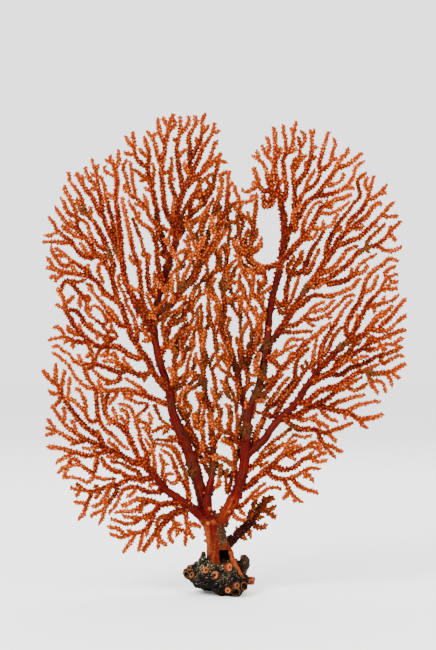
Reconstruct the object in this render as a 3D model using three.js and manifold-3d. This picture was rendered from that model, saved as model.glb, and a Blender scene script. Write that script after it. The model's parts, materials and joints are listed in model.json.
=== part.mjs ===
// A dried sea fan standing on the lump of rock it grew on.
// Millimetres, +Z up. The fan's flat side faces -Y, and the origin is on the surface that the
// rock stands on, under the middle of the whole.

import * as THREE from 'three';
import { mergeVertices } from 'three/addons/utils/BufferGeometryUtils.js';
import Module from 'manifold-3d';

const wasm = await Module();
wasm.setup();

// Driving dimensions
const FAN_HEIGHT = 300;
const TWIG_WIDTH = 2.7;
const TWIG_TIP_WIDTH = 2.0;
const WIDTH_PER_LENGTH = 0.013;
const FORK_GAP = 0.3;
const CROSSING_GAP = 0.6;

// The branch routes below are read by eye off the photograph, in its pixels, one branch to a line,
// from the branch it grows on out to its tip. These three values turn them into millimetres.
const PHOTO_MIDDLE_X = 223;
const PHOTO_GROUND_Y = 593;
const PHOTO_FAN_HEIGHT = 481;
const MM_PER_PIXEL = FAN_HEIGHT / PHOTO_FAN_HEIGHT;

// How finely a route is stepped while its depth is found, and how far a tube may leave it
const ROUTE_STEP = 2.4;
const ROUTE_TOLERANCE = 1.3;

// Twigs shorter than this are left to the surface model
const SHORTEST_TWIG = 21;

// One entry a node: the node it grows from, its depth, its first branch's width at the foot and
// at the end where that isn't a plain twig's, the sides of its tubes, and its routes
const LIMBS = [
  { name: 'trunk', depth: 0, width: [15.2, 12], sides: 8, routes: `
    218,572 218,562 218,552 217,542 215,532 211,521` },

  { name: 'left_stem', from: 'trunk', depth: -1, width: [9, 5.4], sides: 6, routes: `
    212,530 208,518 205,510 201,494 197,478 191,458 184,440 177,424 172,408 169,393` },

  { name: 'left_upper_stem', from: 'left_stem', depth: 2, width: [5.2, 3.6], sides: 5, routes: `
    171,399 168,388 164,376 158,356 154,338 153,322 156,306 160,290 164,276 168,262 174,248 176,234 177,218 178,204
    157,304 157,297 150,293 148,285 147,276 148,268 148,260 146,254 143,248 141,241 140,236
    156,298 155,283 153,276 154,272` },

  { name: 'middle_stem', from: 'trunk', depth: 4, width: [5.4, 3.2], sides: 6, routes: `
    210,522 208,512 208,500 209,488 212,476 213,464 213,452 212,440 212,430 211,418 210,410
    210,410 206,400 205,390 204,378 203,362 202,350 200,338 198,324
    212,412 216,400 216,388 214,378
    207,462 206,457 205,450 204,441 202,433 201,426 203,415
    202,433 199,428 198,418 199,411 200,404
    213,452 216,440 221,434 220,424 219,414 218,404
    203,366 202,350 201,330 201,303
    209,490 221,486 220,478` },

  { name: 'right_stem', from: 'trunk', depth: -2, width: [8.4, 5.4], sides: 6, routes: `
    213,534 218,526 228,510 233,500 238,490 241,480 244,465 246,450 247,435 247,420 248,409
    231,507 240,507 246,501 250,498 254,492 259,487 265,483
    250,498 257,498 260,494 264,490 270,488
    232,506 234,517 238,521 245,520
    238,508 243,514 246,516
    237,490 236,474 235,465 235,455 234,448 229,443 224,436
    246,445 238,443 233,440 230,432 230,420 228,412 231,405
    236,442 237,430 238,420 236,412
    236,470 229,462 222,458` },

  { name: 'right_upper_stem', from: 'right_stem', depth: -2, width: [5.2, 3.7], sides: 6, routes: `
    248,414 252,403 256,395 259,385 262,372 265,360 267,348 268,335 269,320 271,305 273,295 276,283 279,272 281,262 283,250 284,238 284,228 283,215 281,204` },

  { name: 'right_inner_stem', from: 'right_stem', depth: 3, width: [4.4, 3.0], sides: 6, routes: `
    247,420 247,412 243,403 240,392 239,381 237,371 234,363 232,355 229,347 225,339 222,331 221,320 220,308 216,297
    238,371 243,363 242,352 241,340 241,328 240,318
    221,320 225,310 224,297 223,285 224,275 227,266 227,255 228,244 229,235 232,228
    225,288 231,280 233,273 236,266 241,261
    227,497 226,488 226,478` },

  { name: 'left_low_limb', from: 'trunk', depth: -4, width: [6.6, 3.6], sides: 6, routes: `
    210,524 204,520 196,511 188,504 180,499 171,493 163,486 157,478 151,470 145,465
    148,466 148,458 146,450 142,444 140,436 139,428 136,420 133,412
    155,474 155,462 154,452 151,446
    188,504 190,497 188,489 184,483 180,477 176,470 174,462 172,455 166,452 160,449
    187,487 187,478 185,470 182,463 178,456 175,449 168,446 157,444
    180,477 174,485 168,480
    166,486 163,478 168,472 174,474
    163,478 163,468 163,462 168,464
    166,489 160,491 154,492 148,492 142,489 137,486 131,486 125,488 120,491 121,496 116,503 114,508
    136,487 134,493` },

  { name: 'left_low_spray_top', from: 'left_low_limb', depth: -3, width: [3.4, 2.6], routes: `
    147,466 140,458 136,452 133,446 131,438 127,431 122,426 117,423 112,420 107,418 105,412 105,400 108,394 110,392
    117,423 115,412 113,406
    127,431 127,424 123,419 120,415
    105,412 103,396 100,388
    157,446 152,440 149,434 146,428 143,427
    149,434 150,424 140,421 136,419 138,413 143,411` },

  { name: 'left_low_spray_outer', from: 'left_low_limb', depth: -1, width: [3.6, 2.6], routes: `
    148,467 143,464 135,462 127,460 121,455 116,451 109,450 104,446 101,441 99,436 94,432 88,428 82,423 76,416 70,406 64,398 61,391 60,386 57,382 52,381 46,374 43,370
    57,383 56,375 56,363
    61,390 64,380 65,370
    61,393 54,394 50,394 49,389
    62,396 59,401 58,405 54,405 51,408
    104,447 96,444 90,440 84,438 79,434 74,431 68,428 64,421 60,416 56,411 53,405
    86,440 78,442 72,440 66,436 60,433 55,430 50,429 46,427
    56,430 53,424 48,418` },

  { name: 'left_low_spray_middle', from: 'left_low_spray_outer', depth: -6, width: [3.0, 2.5], routes: `
    110,450 104,452 97,453 91,455 85,455 80,452 74,451 62,447 49,446
    74,452 68,456 57,462
    96,453 94,444 92,450 87,448 83,447
    97,454 97,462 97,468 95,474 90,470 86,467 80,462 76,464 69,464 64,468
    95,474 93,479 90,482 86,481
    95,475 100,478 106,479 110,478` },

  { name: 'left_low_spray_lower', from: 'left_low_limb', depth: 1, width: [3.4, 2.5], routes: `
    156,477 146,479 140,478 133,478 127,477 122,473 115,471 107,467 104,464 101,457
    129,478 123,483 118,485 111,485 106,488 100,489 94,491 84,490 78,490 71,487
    100,490 100,494 95,499
    92,491 91,497 85,503 87,508 85,513 78,519
    86,503 80,503 74,501
    117,486 117,491 114,496 107,504 104,509 104,515 99,524
    141,478 140,472 134,470 128,467 122,464 116,462 110,461` },

  { name: 'left_low_spray_bottom', from: 'left_low_limb', depth: -4, width: [3.6, 2.6], routes: `
    184,502 173,502 166,504 160,505 156,502 150,500 138,498 132,499 128,503
    152,501 147,501 142,505 137,508 130,511 123,511 115,512
    160,505 157,510 152,513 147,516 142,518 137,521 131,524 124,523 118,521 111,518
    142,518 136,517 123,516
    154,512 152,519 151,524 147,528 143,531 137,532 131,534 126,535 121,538 116,535 110,533
    143,531 142,536 141,542 138,551
    135,534 133,540 128,544 123,552` },

  { name: 'left_base_spray', from: 'left_low_limb', depth: 2, width: [4.0, 2.6], routes: `
    194,508 188,508 181,511 175,513 170,516 166,521 161,526 157,531 154,537 149,542 143,552
    157,531 159,537 160,541 157,549
    160,541 167,546
    172,515 173,521 176,526 179,530 176,537
    179,530 184,530 188,532 186,538 184,546
    186,509 186,518 187,525 188,532 192,534 194,539
    187,523 196,525 201,527` },

  { name: 'left_mid_limb', from: 'left_upper_stem', depth: 0, width: [3.8, 2.6], sides: 4, routes: `
    169,392 162,383 156,376 151,367 146,358 141,350 136,344 131,337 129,330 127,322 124,312 121,304 117,300 111,298 107,295 103,290 99,285 95,280 90,277 84,275 78,274 66,273 57,270 47,268
    55,270 52,263 47,257
    66,273 58,277 55,282
    92,277 88,271 83,268 78,265 74,261 70,260 67,256 63,252 55,248
    70,260 71,266 77,273
    67,256 60,257 57,255
    125,326 120,326 115,320 109,314 104,306 100,300 96,296 92,292 87,288
    118,322 112,310 107,306
    137,345 137,330 135,318 131,314 128,307 126,303` },

  { name: 'left_mid_spray_upper', from: 'left_mid_limb', depth: 5, width: [3.4, 2.5], routes: `
    145,357 135,358 129,355 123,350 117,347 110,346 104,347 98,347 93,344 89,340 85,338 81,334 77,329 73,324 70,319 67,313 65,308 65,302 62,296 57,289
    65,309 60,308 56,304
    60,292 62,285 66,280 73,281 80,282 86,279
    66,280 72,284 77,289 81,295 86,299 87,306 87,312 91,318 96,320
    67,311 73,309 78,312 82,318 85,324 88,329 94,331 99,334 104,338 107,346
    89,341 85,343 78,343 73,341 68,338 64,335 60,338 54,339 48,340
    64,335 60,328 57,325 53,328
    73,341 72,345 73,349
    88,341 90,352 93,357 92,363` },

  { name: 'left_mid_spray_middle', from: 'left_mid_limb', depth: 1, width: [3.2, 2.5], routes: `
    152,370 146,375 140,376 133,372 127,370 122,366 117,362 110,360 103,361
    133,372 128,365 123,362
    128,370 120,373 114,371 108,368 102,366 96,364 90,364 84,364 79,366 75,363 72,358 69,352 64,352
    82,364 79,358 78,354
    83,364 86,374 89,380 93,385 97,388
    120,373 118,383 112,382 106,380 100,377 96,373 92,369
    117,362 115,352 109,356 100,356` },

  { name: 'left_mid_spray_lower', from: 'left_stem', depth: -5, width: [3.2, 2.5], routes: `
    172,405 160,402 150,398 144,396 138,393 132,391 126,389 118,390 116,390 110,391 104,390 100,386 99,380
    150,398 144,392 138,386 132,382 126,378
    118,390 117,396 112,400 109,405
    104,390 97,388 92,389 87,386 82,384 79,379 75,374 72,369
    97,389 97,398 97,405 98,412 99,418 102,424 106,430 112,434 118,440 124,446 130,449
    99,418 93,424 88,418 87,411 83,409 79,404 76,400 72,397
    87,411 87,402 84,396 81,390 76,387
    76,400 68,400 69,393 71,387` },

  { name: 'upper_left_limb', from: 'left_upper_stem', depth: -2, width: [4.0, 2.6], sides: 4, routes: `
    155,341 151,329 147,322 142,315 138,308 134,300 131,293 127,285 124,277 123,268 122,258 121,248 121,238 119,228 118,218 117,208 116,198 117,188 117,178 116,170 113,164 110,160 110,156
    116,168 119,163 119,150
    112,163 105,160
    117,178 110,174
    116,200 114,198 110,195 106,193
    152,340 147,336 142,328
    144,318 150,316 156,318
    126,284 134,290 142,291
    151,329 144,330 138,331 134,328` },

  { name: 'upper_left_spray_outer', from: 'left_mid_limb', depth: 3, width: [3.4, 2.5], routes: `
    118,300 117,298 115,290 113,283 111,275 108,268 104,263 101,258 97,256 95,253 91,247 87,240 83,235 79,231 75,228 78,223 77,218 76,212 74,207 71,200 67,193
    76,228 70,226 66,224 63,219 60,213 55,207
    77,218 72,215 67,212 65,205 60,197
    97,256 93,259 88,259 84,256 80,253 76,252 74,246 71,241 67,238 62,235 58,231 55,226 52,221 48,216
    73,242 66,243 60,243 54,241 51,243 47,241 42,242
    58,231 54,234
    103,263 99,262 97,270 100,276 104,283
    112,277 113,262 110,256 108,250 105,243 101,234 98,228 94,222 90,218 86,214 84,208 82,200 80,193 76,189 70,182
    104,250 100,248 96,245 93,240 90,234 88,228 87,222 82,220 79,218` },

  { name: 'upper_left_spray_inner', from: 'upper_left_limb', depth: 3, width: [3.2, 2.5], routes: `
    122,262 118,256 115,250 113,240 110,233 107,227 104,220 101,213 98,210 95,204 92,197 88,192 84,187 81,182 76,173
    83,184 82,175
    102,215 102,207 101,199 99,192 97,186 97,177 96,171 94,166 91,159
    96,170 98,164
    97,186 94,183 89,179 86,173 85,166
    121,246 116,236 113,225 111,218 109,210 107,203 106,196 104,185 103,179 99,176` },

  { name: 'upper_left_spray_right', from: 'left_upper_stem', depth: -6, width: [3.2, 2.5], routes: `
    154,324 150,316 147,311 143,308 142,300 142,290 141,280 139,268 138,262 133,250 131,240 129,228 126,214
    139,268 141,260
    155,312 151,304 148,297 146,292
    142,308 137,318` },

  { name: 'crown_left_spray', from: 'left_upper_stem', depth: 0, width: [3.2, 2.5], routes: `
    161,287 162,283 159,272 157,262 157,252 156,243 154,235 151,229 146,227 141,224 138,219 139,212
    156,243 158,234 157,224 152,220 148,214 145,208 140,206 134,204
    148,213 147,207 147,201 144,195
    145,208 141,203 136,198 134,190 133,182 131,169
    136,198 130,196 128,190 127,182 126,176 123,171
    140,223 137,214 134,210 130,206 129,200` },

  { name: 'crown_back_spray', from: 'left_upper_stem', depth: 6, width: [3.4, 2.5], routes: `
    169,262 165,252 163,242 161,233 158,226 157,216 156,207 154,198 152,190 150,180 148,172 147,166 149,160 149,153 148,147 145,141 143,135
    152,188 153,176 155,170 152,162
    149,157 144,155 143,151 139,147
    147,166 142,165 139,161 136,157 134,152 134,146 133,140 132,130
    134,153 128,154
    134,147 128,142 124,139 125,135
    149,178 143,177 139,172 131,168
    152,191 147,190 144,186
    159,229 165,228 163,224` },

  { name: 'crown_middle_spray', from: 'left_upper_stem', depth: -4, width: [3.4, 2.5], routes: `
    176,238 174,226 170,221 166,214 164,206 164,198 163,190 162,182 161,174 161,166 163,160 165,153 165,146 167,138 169,130 169,124 172,119 173,114
    165,144 161,137 159,130 158,118
    168,127 164,122
    161,166 157,154 156,148 154,142 153,138 147,132
    153,138 157,133
    170,221 173,210 174,199` },

  { name: 'crown_top_spray', from: 'left_upper_stem', depth: 1, width: [3.4, 2.5], routes: `
    178,206 181,196 184,189 188,182 190,174 190,166 189,155 190,148 188,140 189,133 193,129 197,122
    183,191 181,180 179,170 178,160 177,150 177,143 179,137 181,130 180,116
    177,143 173,137
    181,132 187,127 190,121 188,115
    178,158 183,151 187,148
    178,202 174,194 171,187 170,178 171,168 172,156
    171,173 166,174 162,172
    171,180 175,179
    190,160 194,152 198,145 201,138 202,129 202,121 206,112
    198,146 196,136
    202,132 207,130 209,124
    202,121 203,115` },

  { name: 'crown_right_spray', from: 'crown_top_spray', depth: -5, width: [3.0, 2.5], routes: `
    187,186 194,180 200,174 206,170 211,165 215,160 219,158 221,153
    217,160 227,163
    202,172 206,164 211,159 212,152 214,146
    190,173 195,167 199,160 201,152 204,145 209,139 213,134 214,123
    214,133 220,131` },

  { name: 'crown_inner_spray', from: 'left_upper_stem', depth: 4, width: [3.2, 2.5], routes: `
    176,240 183,229 186,222 189,215 195,210 201,206 206,200 209,193 213,186 214,178 216,170 218,161
    190,214 191,204 193,197 197,189 201,182 207,177 213,172
    180,232 181,216 185,207 189,201
    213,187 208,186 206,178
    195,197 201,190 206,192
    186,222 194,221 200,217 207,213` },

  { name: 'middle_crown_limb', from: 'left_upper_stem', depth: -4, width: [4.0, 2.6], sides: 4, routes: `
    154,318 158,313 166,310 172,303 177,295 183,288 190,284 195,277 198,270 201,263 203,255 204,247 206,240 209,232 211,224 213,216 215,208 218,200 220,192 222,185
    203,262 210,250 214,243 217,235 220,228 222,222 225,214 228,209 232,205 238,202 243,202 248,204 253,200 258,198
    225,214 226,208 227,198 228,188 227,180 230,172
    228,188 233,182
    202,262 213,250 217,244 221,238 225,233
    199,268 198,252 194,244 191,231
    202,260 197,248 198,238
    204,250 201,236 203,227 206,219 208,213
    198,262 197,256 190,251 186,248 178,254
    190,251 189,245 183,240
    174,301 182,298 187,295
    175,299 172,293 173,282
    178,294 178,285 177,276 178,268
    182,289 182,281 185,274 189,267 192,262` },

  { name: 'inner_left_spray', from: 'left_upper_stem', depth: 6, width: [3.4, 2.5], routes: `
    158,360 164,350 166,341 168,332 169,323 174,317 179,311 183,305 187,301
    167,341 162,334 163,323
    167,346 174,339 179,333 182,327
    169,326 177,323 183,318 187,311 190,304 191,296 194,290 199,284 203,279
    190,308 194,308 197,300` },

  { name: 'inner_middle_spray', from: 'left_stem', depth: 3, width: [3.4, 2.5], routes: `
    172,408 174,393 176,383 175,373 173,363 175,355 179,347 181,338 183,330
    175,390 183,384 187,374 188,362 192,350
    179,347 186,340 190,331 191,322
    176,366 168,372` },

  { name: 'inner_low_spray', from: 'left_stem', depth: 6, width: [3.4, 2.5], routes: `
    195,468 197,455 198,448 196,441 193,436 190,431 188,424 186,418 184,410 183,402 187,391
    186,419 191,413 191,405
    181,431 170,428 160,420
    190,455 178,441 170,441 162,440 155,440
    168,427 163,427 157,430 151,434` },

  { name: 'right_crown_top_spray', from: 'right_upper_stem', depth: -3, width: [3.4, 2.5], routes: `
    281,206 279,197 278,188 277,180 275,172 275,164 276,156 276,148 275,140 275,132 273,127
    275,165 269,159 265,154 262,145
    281,203 285,197 287,190 285,182 284,174 283,166 284,158 286,151 286,143 284,136 282,130 283,125
    285,156 292,149 293,142 293,135 296,122
    293,133 291,128
    279,198 273,191 269,187 268,180 267,172 264,167 261,162 258,158 252,156
    270,188 264,195 262,188 259,184 254,188 248,191 244,195 242,188
    259,185 259,181` },

  { name: 'right_crown_middle_spray', from: 'right_upper_stem', depth: 2, width: [3.4, 2.5], routes: `
    283,248 288,235 291,226 294,216 295,206 295,196 295,188 294,180 294,172 292,166 297,157
    294,172 297,166 300,160 301,147
    300,161 304,158 307,154
    295,188 300,180 304,175 307,169 309,163 311,157 312,150 312,143 312,136 315,130
    312,138 310,129
    312,147 317,147` },

  { name: 'right_crown_outer_spray', from: 'right_crown_middle_spray', depth: -3, width: [3.2, 2.5], routes: `
    291,228 297,219 302,212 305,205 309,200 314,198 319,193 322,188 326,183 330,178 334,172 337,167 339,161 343,156
    337,168 345,167 351,163 356,158 362,154
    326,185 332,186 341,181
    318,196 325,196 331,194 338,192 344,188 349,184 353,177 354,170
    303,212 298,200 303,194 307,188 307,181 311,175 314,170
    306,191 315,185 319,179 320,172 318,165 321,158 322,150 325,142 328,132
    320,171 326,168 331,162 332,155 333,149 336,144
    332,160 337,159` },

  { name: 'right_crown_inner_spray', from: 'right_upper_stem', depth: 5, width: [3.2, 2.5], routes: `
    281,262 268,268 258,266 250,262 250,252 252,242 252,232 254,224 255,215 256,206 257,198 257,193
    254,225 250,221 247,216 247,211
    250,262 249,264 248,258 245,251 242,244 239,236 238,228 238,219 236,214
    238,222 231,221 225,224
    245,251 241,258 237,252 233,243` },

  { name: 'right_upper_limb', from: 'right_upper_stem', depth: -5, width: [3.8, 2.6], sides: 4, routes: `
    279,270 281,262 287,256 293,249 298,243 305,237 310,230 313,222 317,215 320,208 326,207 331,203 337,199 344,198 351,195
    318,213 326,216 333,213 344,207
    327,206 327,200
    311,229 319,230 326,228 332,225
    322,229 323,221
    303,239 312,240 318,231
    302,241 303,222 307,215 315,204` },

  { name: 'right_upper_twigs', from: 'right_upper_stem', depth: 4, width: [3.2, 2.5], routes: `
    274,300 281,307 286,302 286,293 288,283 290,275 295,267 300,259 303,250
    286,305 291,303 293,293 297,284 299,276
    291,275 302,272 306,266 308,258 311,250 315,245 320,240 323,233 326,228
    303,272 308,275 312,266 315,258 320,248
    296,266 301,262 302,252` },

  { name: 'right_mid_limb', from: 'right_upper_stem', depth: 1, width: [4.0, 2.8], sides: 4, routes: `
    267,352 268,345 274,338 278,333 283,325 288,317 293,310 298,303 302,296 306,288 311,282 317,275 322,267 326,259 331,254 335,248 337,243 341,236 346,231 351,229 356,226 359,220 366,218 370,212 373,206 377,202 381,203
    347,231 349,221 354,216 360,212 364,206 367,200 369,193 371,187 374,176
    367,200 374,199 379,193 387,185
    380,193 381,195 386,192
    326,260 327,245 330,238 334,231 337,226 341,220 346,214 351,209 355,200
    336,246 344,244 350,241 357,239 363,235 367,230 372,225 377,220 382,216 385,210 393,202
    382,216 388,218 398,216
    373,225 378,227` },

  { name: 'right_mid_spray_outer', from: 'right_mid_limb', depth: 5, width: [3.4, 2.5], routes: `
    317,275 321,273 327,272 333,268 338,263 343,257 347,251
    311,283 319,283 326,280 333,276 340,270 346,266 351,261 355,257 359,252 365,248 371,246 378,245 384,239 388,235 391,230 401,221
    366,248 367,240 372,236 378,232 386,223
    378,246 383,250 390,252 402,247
    388,236 394,236 396,242
    366,249 369,253
    325,281 330,284 337,283 343,280 350,277 356,275 357,270 360,264 364,261 369,258
    357,273 363,273` },

  { name: 'right_mid_spray_lower', from: 'right_mid_limb', depth: -3, width: [3.2, 2.5], routes: `
    294,310 300,306 305,301 310,297 317,295 324,297 331,297 338,293 345,290 352,288
    283,326 294,326 300,322 304,317 309,312 312,306 317,304 325,302
    309,312 316,312 321,308
    303,319 312,320 319,319 326,315 332,311 336,305 340,303
    326,316 331,318
    305,319 308,321 311,325 316,326
    279,332 288,331 294,333 301,331 307,331 313,331` },

  { name: 'right_limb', from: 'right_stem', depth: -4, width: [5.0, 3.2], sides: 6, routes: `
    246,456 258,446 264,440 268,432 273,425 280,419 285,414 292,407 298,401 302,394 305,388 310,382 314,377 317,370 322,365 328,360 333,355 337,350 343,345 350,341 354,337 359,338 367,332 371,325 374,320 378,315 386,311
    371,330 378,331 384,331 389,331 391,326 395,323
    379,331 379,325 383,322 388,319 392,315 395,309 400,304 404,298
    319,368 319,362 320,352 322,345 326,337 331,330 334,323 338,317 342,312 345,306 352,300
    320,358 325,354 329,347 332,340 335,333 340,328 343,327
    314,376 312,358 314,350 315,343 317,336` },

  { name: 'right_limb_spray_top', from: 'right_limb', depth: 2, width: [3.2, 2.5], routes: `
    350,341 347,337 345,331 346,324 349,318 352,312 357,306 360,301 361,295 364,290 365,284 367,277 371,272 380,267
    347,337 352,335 355,328 358,321 361,316 365,310 368,304 371,299 376,295 381,290 382,284 386,279 391,276 397,274
    382,291 387,289 391,280
    367,307 375,306 381,303 391,301
    373,306 374,313
    383,303 384,296` },

  { name: 'right_limb_spray_outer', from: 'right_limb', depth: -1, width: [3.4, 2.5], routes: `
    312,380 318,378 325,376 331,372 336,367 342,363 348,358 353,353 358,351 363,348 367,343 373,341 379,339 385,336 391,335 397,332 405,329
    388,336 390,340
    335,368 335,362 338,358 344,356 349,352 352,347 355,342 359,338
    362,349 371,350 377,348 382,345 387,343 393,345 399,346
    348,359 353,362 358,359 363,355` },

  { name: 'right_limb_spray_middle', from: 'right_limb', depth: 5, width: [3.2, 2.5], routes: `
    309,383 320,378 330,373 335,375 341,376 346,371 352,366 358,366 363,364 369,362 374,358 380,355 386,354 391,352 396,350 403,347
    380,356 383,366 386,361 391,359 400,355` },

  { name: 'right_limb_spray_lower', from: 'right_limb', depth: -6, width: [3.6, 2.6], routes: `
    303,404 306,402 312,398 317,392 323,388 330,387 334,388 338,385 344,381 350,377 356,373 361,370 367,371 371,374 377,373 383,373 389,371 394,369 404,363
    390,371 398,378
    384,373 389,378
    361,371 366,368 372,366 378,364
    367,371 369,381 372,386 376,393
    369,381 375,381 379,380 383,385` },

  { name: 'right_limb_spray_broad', from: 'right_limb', depth: 1, width: [3.6, 2.6], routes: `
    285,414 292,418 298,415 304,411 313,406 320,406 327,408 334,410 341,412 348,412 354,416 359,419 366,419 372,418 382,414
    359,419 361,424 363,428 368,428
    313,406 321,402 327,399 333,395 336,391 342,389 348,387 352,382 363,377
    348,388 355,391 360,388 367,383
    329,408 334,403 341,401 348,400 354,397 365,395
    346,412 350,409 356,406 362,404 373,401
    344,412 345,420
    319,406 322,413 327,417 332,420 338,421
    297,416 299,421 306,420 312,417 318,414
    310,418 319,422 329,428` },

  { name: 'right_limb_spray_under', from: 'right_limb', depth: 5, width: [3.2, 2.5], routes: `
    282,417 289,423 294,427 300,429 306,429 311,427 315,431 321,432 327,434 332,431 338,430 344,427 353,423
    328,434 337,442
    318,432 320,438 323,443 326,448 329,452 336,458` },

  { name: 'inner_right_spray', from: 'right_limb', depth: 3, width: [3.4, 2.5], routes: `
    254,450 254,440 259,427 263,421 266,415 267,407 274,406 279,401 282,395 287,389 292,384 296,380 295,372 295,366 297,361 304,352
    267,408 269,403 272,400 276,394 280,389 283,383 290,377
    266,414 256,413
    276,418 275,415 279,408 282,402 287,396 292,390 297,384 301,378 304,372 308,368 313,364 319,361` },

  { name: 'inner_right_upper_spray', from: 'right_upper_stem', depth: -7, width: [3.4, 2.5], routes: `
    256,397 265,393 270,388 275,380 279,371 283,366 290,360 296,354 301,348 306,342 312,337 318,333 324,327 331,323
    288,361 289,354 293,351
    262,376 256,375
    266,356 275,358 283,351 289,347 297,345
    284,350 288,339 294,339 300,340` },

  { name: 'inner_right_left_spray', from: 'right_inner_stem', depth: -3, width: [3.2, 2.5], routes: `
    240,395 245,389 249,387 248,380 248,372 247,364 250,358 253,352 256,345 258,336 258,328 257,320 255,313
    248,360 250,345 252,338 252,330 250,322
    259,345 262,330 259,320 262,312
    259,322 267,315 262,306 258,300 258,290 258,280` },

  { name: 'right_low_limb', from: 'right_stem', depth: -5, width: [4.0, 2.6], sides: 4, routes: `
    239,489 247,486 252,483 257,477 262,472 268,470 272,465 277,460 281,455 286,451 291,447 301,445
    283,453 287,444 291,437
    287,444 297,440
    284,454 290,454 296,451 302,449 307,446 313,446 318,449 322,453
    272,466 276,467 282,470 289,469 295,466 299,463 303,458 308,457 312,459 317,456 322,452 327,453
    268,470 270,476 277,478 284,479 291,478 296,476 301,472 305,469 311,466 320,468
    304,471 309,475 313,482
    291,478 297,484 302,487 308,489 318,493
    284,479 286,485 289,490 293,495 298,499 302,502
    295,497 294,502
    290,491 285,495 283,499` },

  { name: 'right_low_spray_upper', from: 'right_stem', depth: 1, width: [3.4, 2.5], routes: `
    243,473 251,467 257,463 261,457 267,454 273,451 279,447 285,443
    260,458 260,469 268,461
    259,459 264,449 270,447 276,444
    266,449 272,442 278,439 283,435 292,428` },

  { name: 'dark_base_spray', from: 'trunk', depth: 4, width: [3.6, 2.5], routes: `
    216,552 227,545 232,541 238,535 244,530 250,525 254,518 258,513 261,509 263,504 266,499 270,497 273,500
    261,511 267,511 276,508
    266,511 276,519
    252,523 259,530 263,530 267,526
    254,520 260,520 263,517
    247,527 249,531 251,538
    239,535 246,540
    237,536 237,529
    245,529 247,522 250,517 252,512 254,505 255,499` },
];

// Colours
const TWIG_COLOUR = 0xb0603a;
const STEM_COLOUR = 0x7c1a0e;
const ROCK_COLOUR = 0x3a322a;

// The rock: an egg-shaped lump, with swellings and hollows given by place, reach and height
const ROCK_MIDDLE = new THREE.Vector3(-3.5, -1, 9.5);
const ROCK_HALF_SIZE = new THREE.Vector3(18.5, 17.5, 13.5);
const ROCK_DETAIL = 4;
const ROCK_BUMPS = [
  { at: [-21, -2, 15], reach: 6, height: 3.6 },
  { at: [-14, -6, 20], reach: 5, height: 3 },
  { at: [-12, -12, 6], reach: 6, height: 2 },
  { at: [-2, -16, 9], reach: 6, height: 2.2 },
  { at: [8, -15, 3], reach: 7, height: 6 },
  { at: [13, -4, 8], reach: 5, height: 3 },
  { at: [7, 2, 20], reach: 6, height: 4 },
  { at: [-20, -3, 4], reach: 5, height: -3 },
  { at: [0, -16, 2], reach: 4, height: -2 },
  { at: [10, 12, 10], reach: 7, height: 2.5 },
  { at: [-10, 15, 12], reach: 7, height: 3 },
];

// The cup corals on the rock, by where the photograph shows them, with their radius
const CUPS = [
  { pixel: [205.5, 571], radius: 2.3, height: 2.2 },
  { pixel: [215.5, 575.5], radius: 2.8, height: 2.0 },
  { pixel: [228.5, 567], radius: 3.0, height: 2.4 },
  { pixel: [228, 589], radius: 2.6, height: 2.2 },
  { pixel: [235.5, 587], radius: 3.0, height: 1.8 },
  { pixel: [243.5, 584.5], radius: 2.8, height: 2.0 },
  { pixel: [187, 574], radius: 2.6, height: 2.6 },
  { pixel: [191, 567], radius: 2.2, height: 2.4 },
];
const CUP_SIDES = 7;

// A stubby finger of old growth on the right of the rock, and a lump beside it
const FINGER = { route: '238,574 241,569 243.5,563 244.5,560', width: [8, 6.6], y: [-1, -2] };
const LUMP = { route: '243,580 249,580 254.5,581', width: [7, 4.4], y: [-5, -6] };
const STUB_SIDES = 7;

// The foot of the trunk spreads down over the rock
const FOOT_ROUTES = [
  { route: '222,546 230,558 236,567 242,576', width: [12, 4.4], y: [-3, -13] },
  { route: '215,550 207,558 201,565', width: [11, 4.5], y: [-2, -9] },
  { route: '217,552 215,560 214,566', width: [13, 7], y: [-3, -11] },
];
const HOLLOW_PIXEL = [224, 555];
const HOLLOW_Y = -9;
const HOLLOW_HALF_SIZE = new THREE.Vector3(3.2, 4.6, 3.9);

// How the depth of crossing branches is settled
const RELAX_ROUNDS = 260;
const PUSH_SHARE = 0.35;
const EVEN_SHARE = 0.35;
const GOAL_SHARE = 0.004;
const ROW_ASIDE = 1.4;
const DEPTH_RUN = 45;
const FORK_REACH = 3.2;
const ROOT_CLEARANCE = 1.3;
const FAN_CURVE = 7;
const FAN_HALF_WIDTH = 112;

// A point of the photograph as x and z in the fan's plane
function fromPixel([px, py]) {
  return new THREE.Vector2((px - PHOTO_MIDDLE_X) * MM_PER_PIXEL, (PHOTO_GROUND_Y - py) * MM_PER_PIXEL);
}

// A line of the route text as points in the fan's plane
function readRoute(line) {
  return line.trim().split(/\s+/).map((pair) => fromPixel(pair.split(',').map(Number)));
}

// The same route stepped evenly, with the length run to each point
function stepRoute(corners) {
  const samples = [{ x: corners[0].x, z: corners[0].y, run: 0 }];
  let run = 0;
  for (let k = 1; k < corners.length; k += 1) {
    const length = corners[k].distanceTo(corners[k - 1]);
    const steps = Math.max(1, Math.round(length / ROUTE_STEP));
    for (let i = 1; i <= steps; i += 1) {
      const spot = corners[k - 1].clone().lerp(corners[k], i / steps);
      samples.push({ x: spot.x, z: spot.y, run: run + (length * i) / steps });
    }
    run += length;
  }
  return samples;
}

function nearestSample(branches, spot) {
  let best = { distance: Infinity };
  for (const branch of branches) {
    branch.samples.forEach((sample, index) => {
      const distance = Math.hypot(sample.x - spot.x, sample.z - spot.y);
      if (distance < best.distance) {
        best = { distance, branch, index };
      }
    });
  }
  return best;
}

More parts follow.
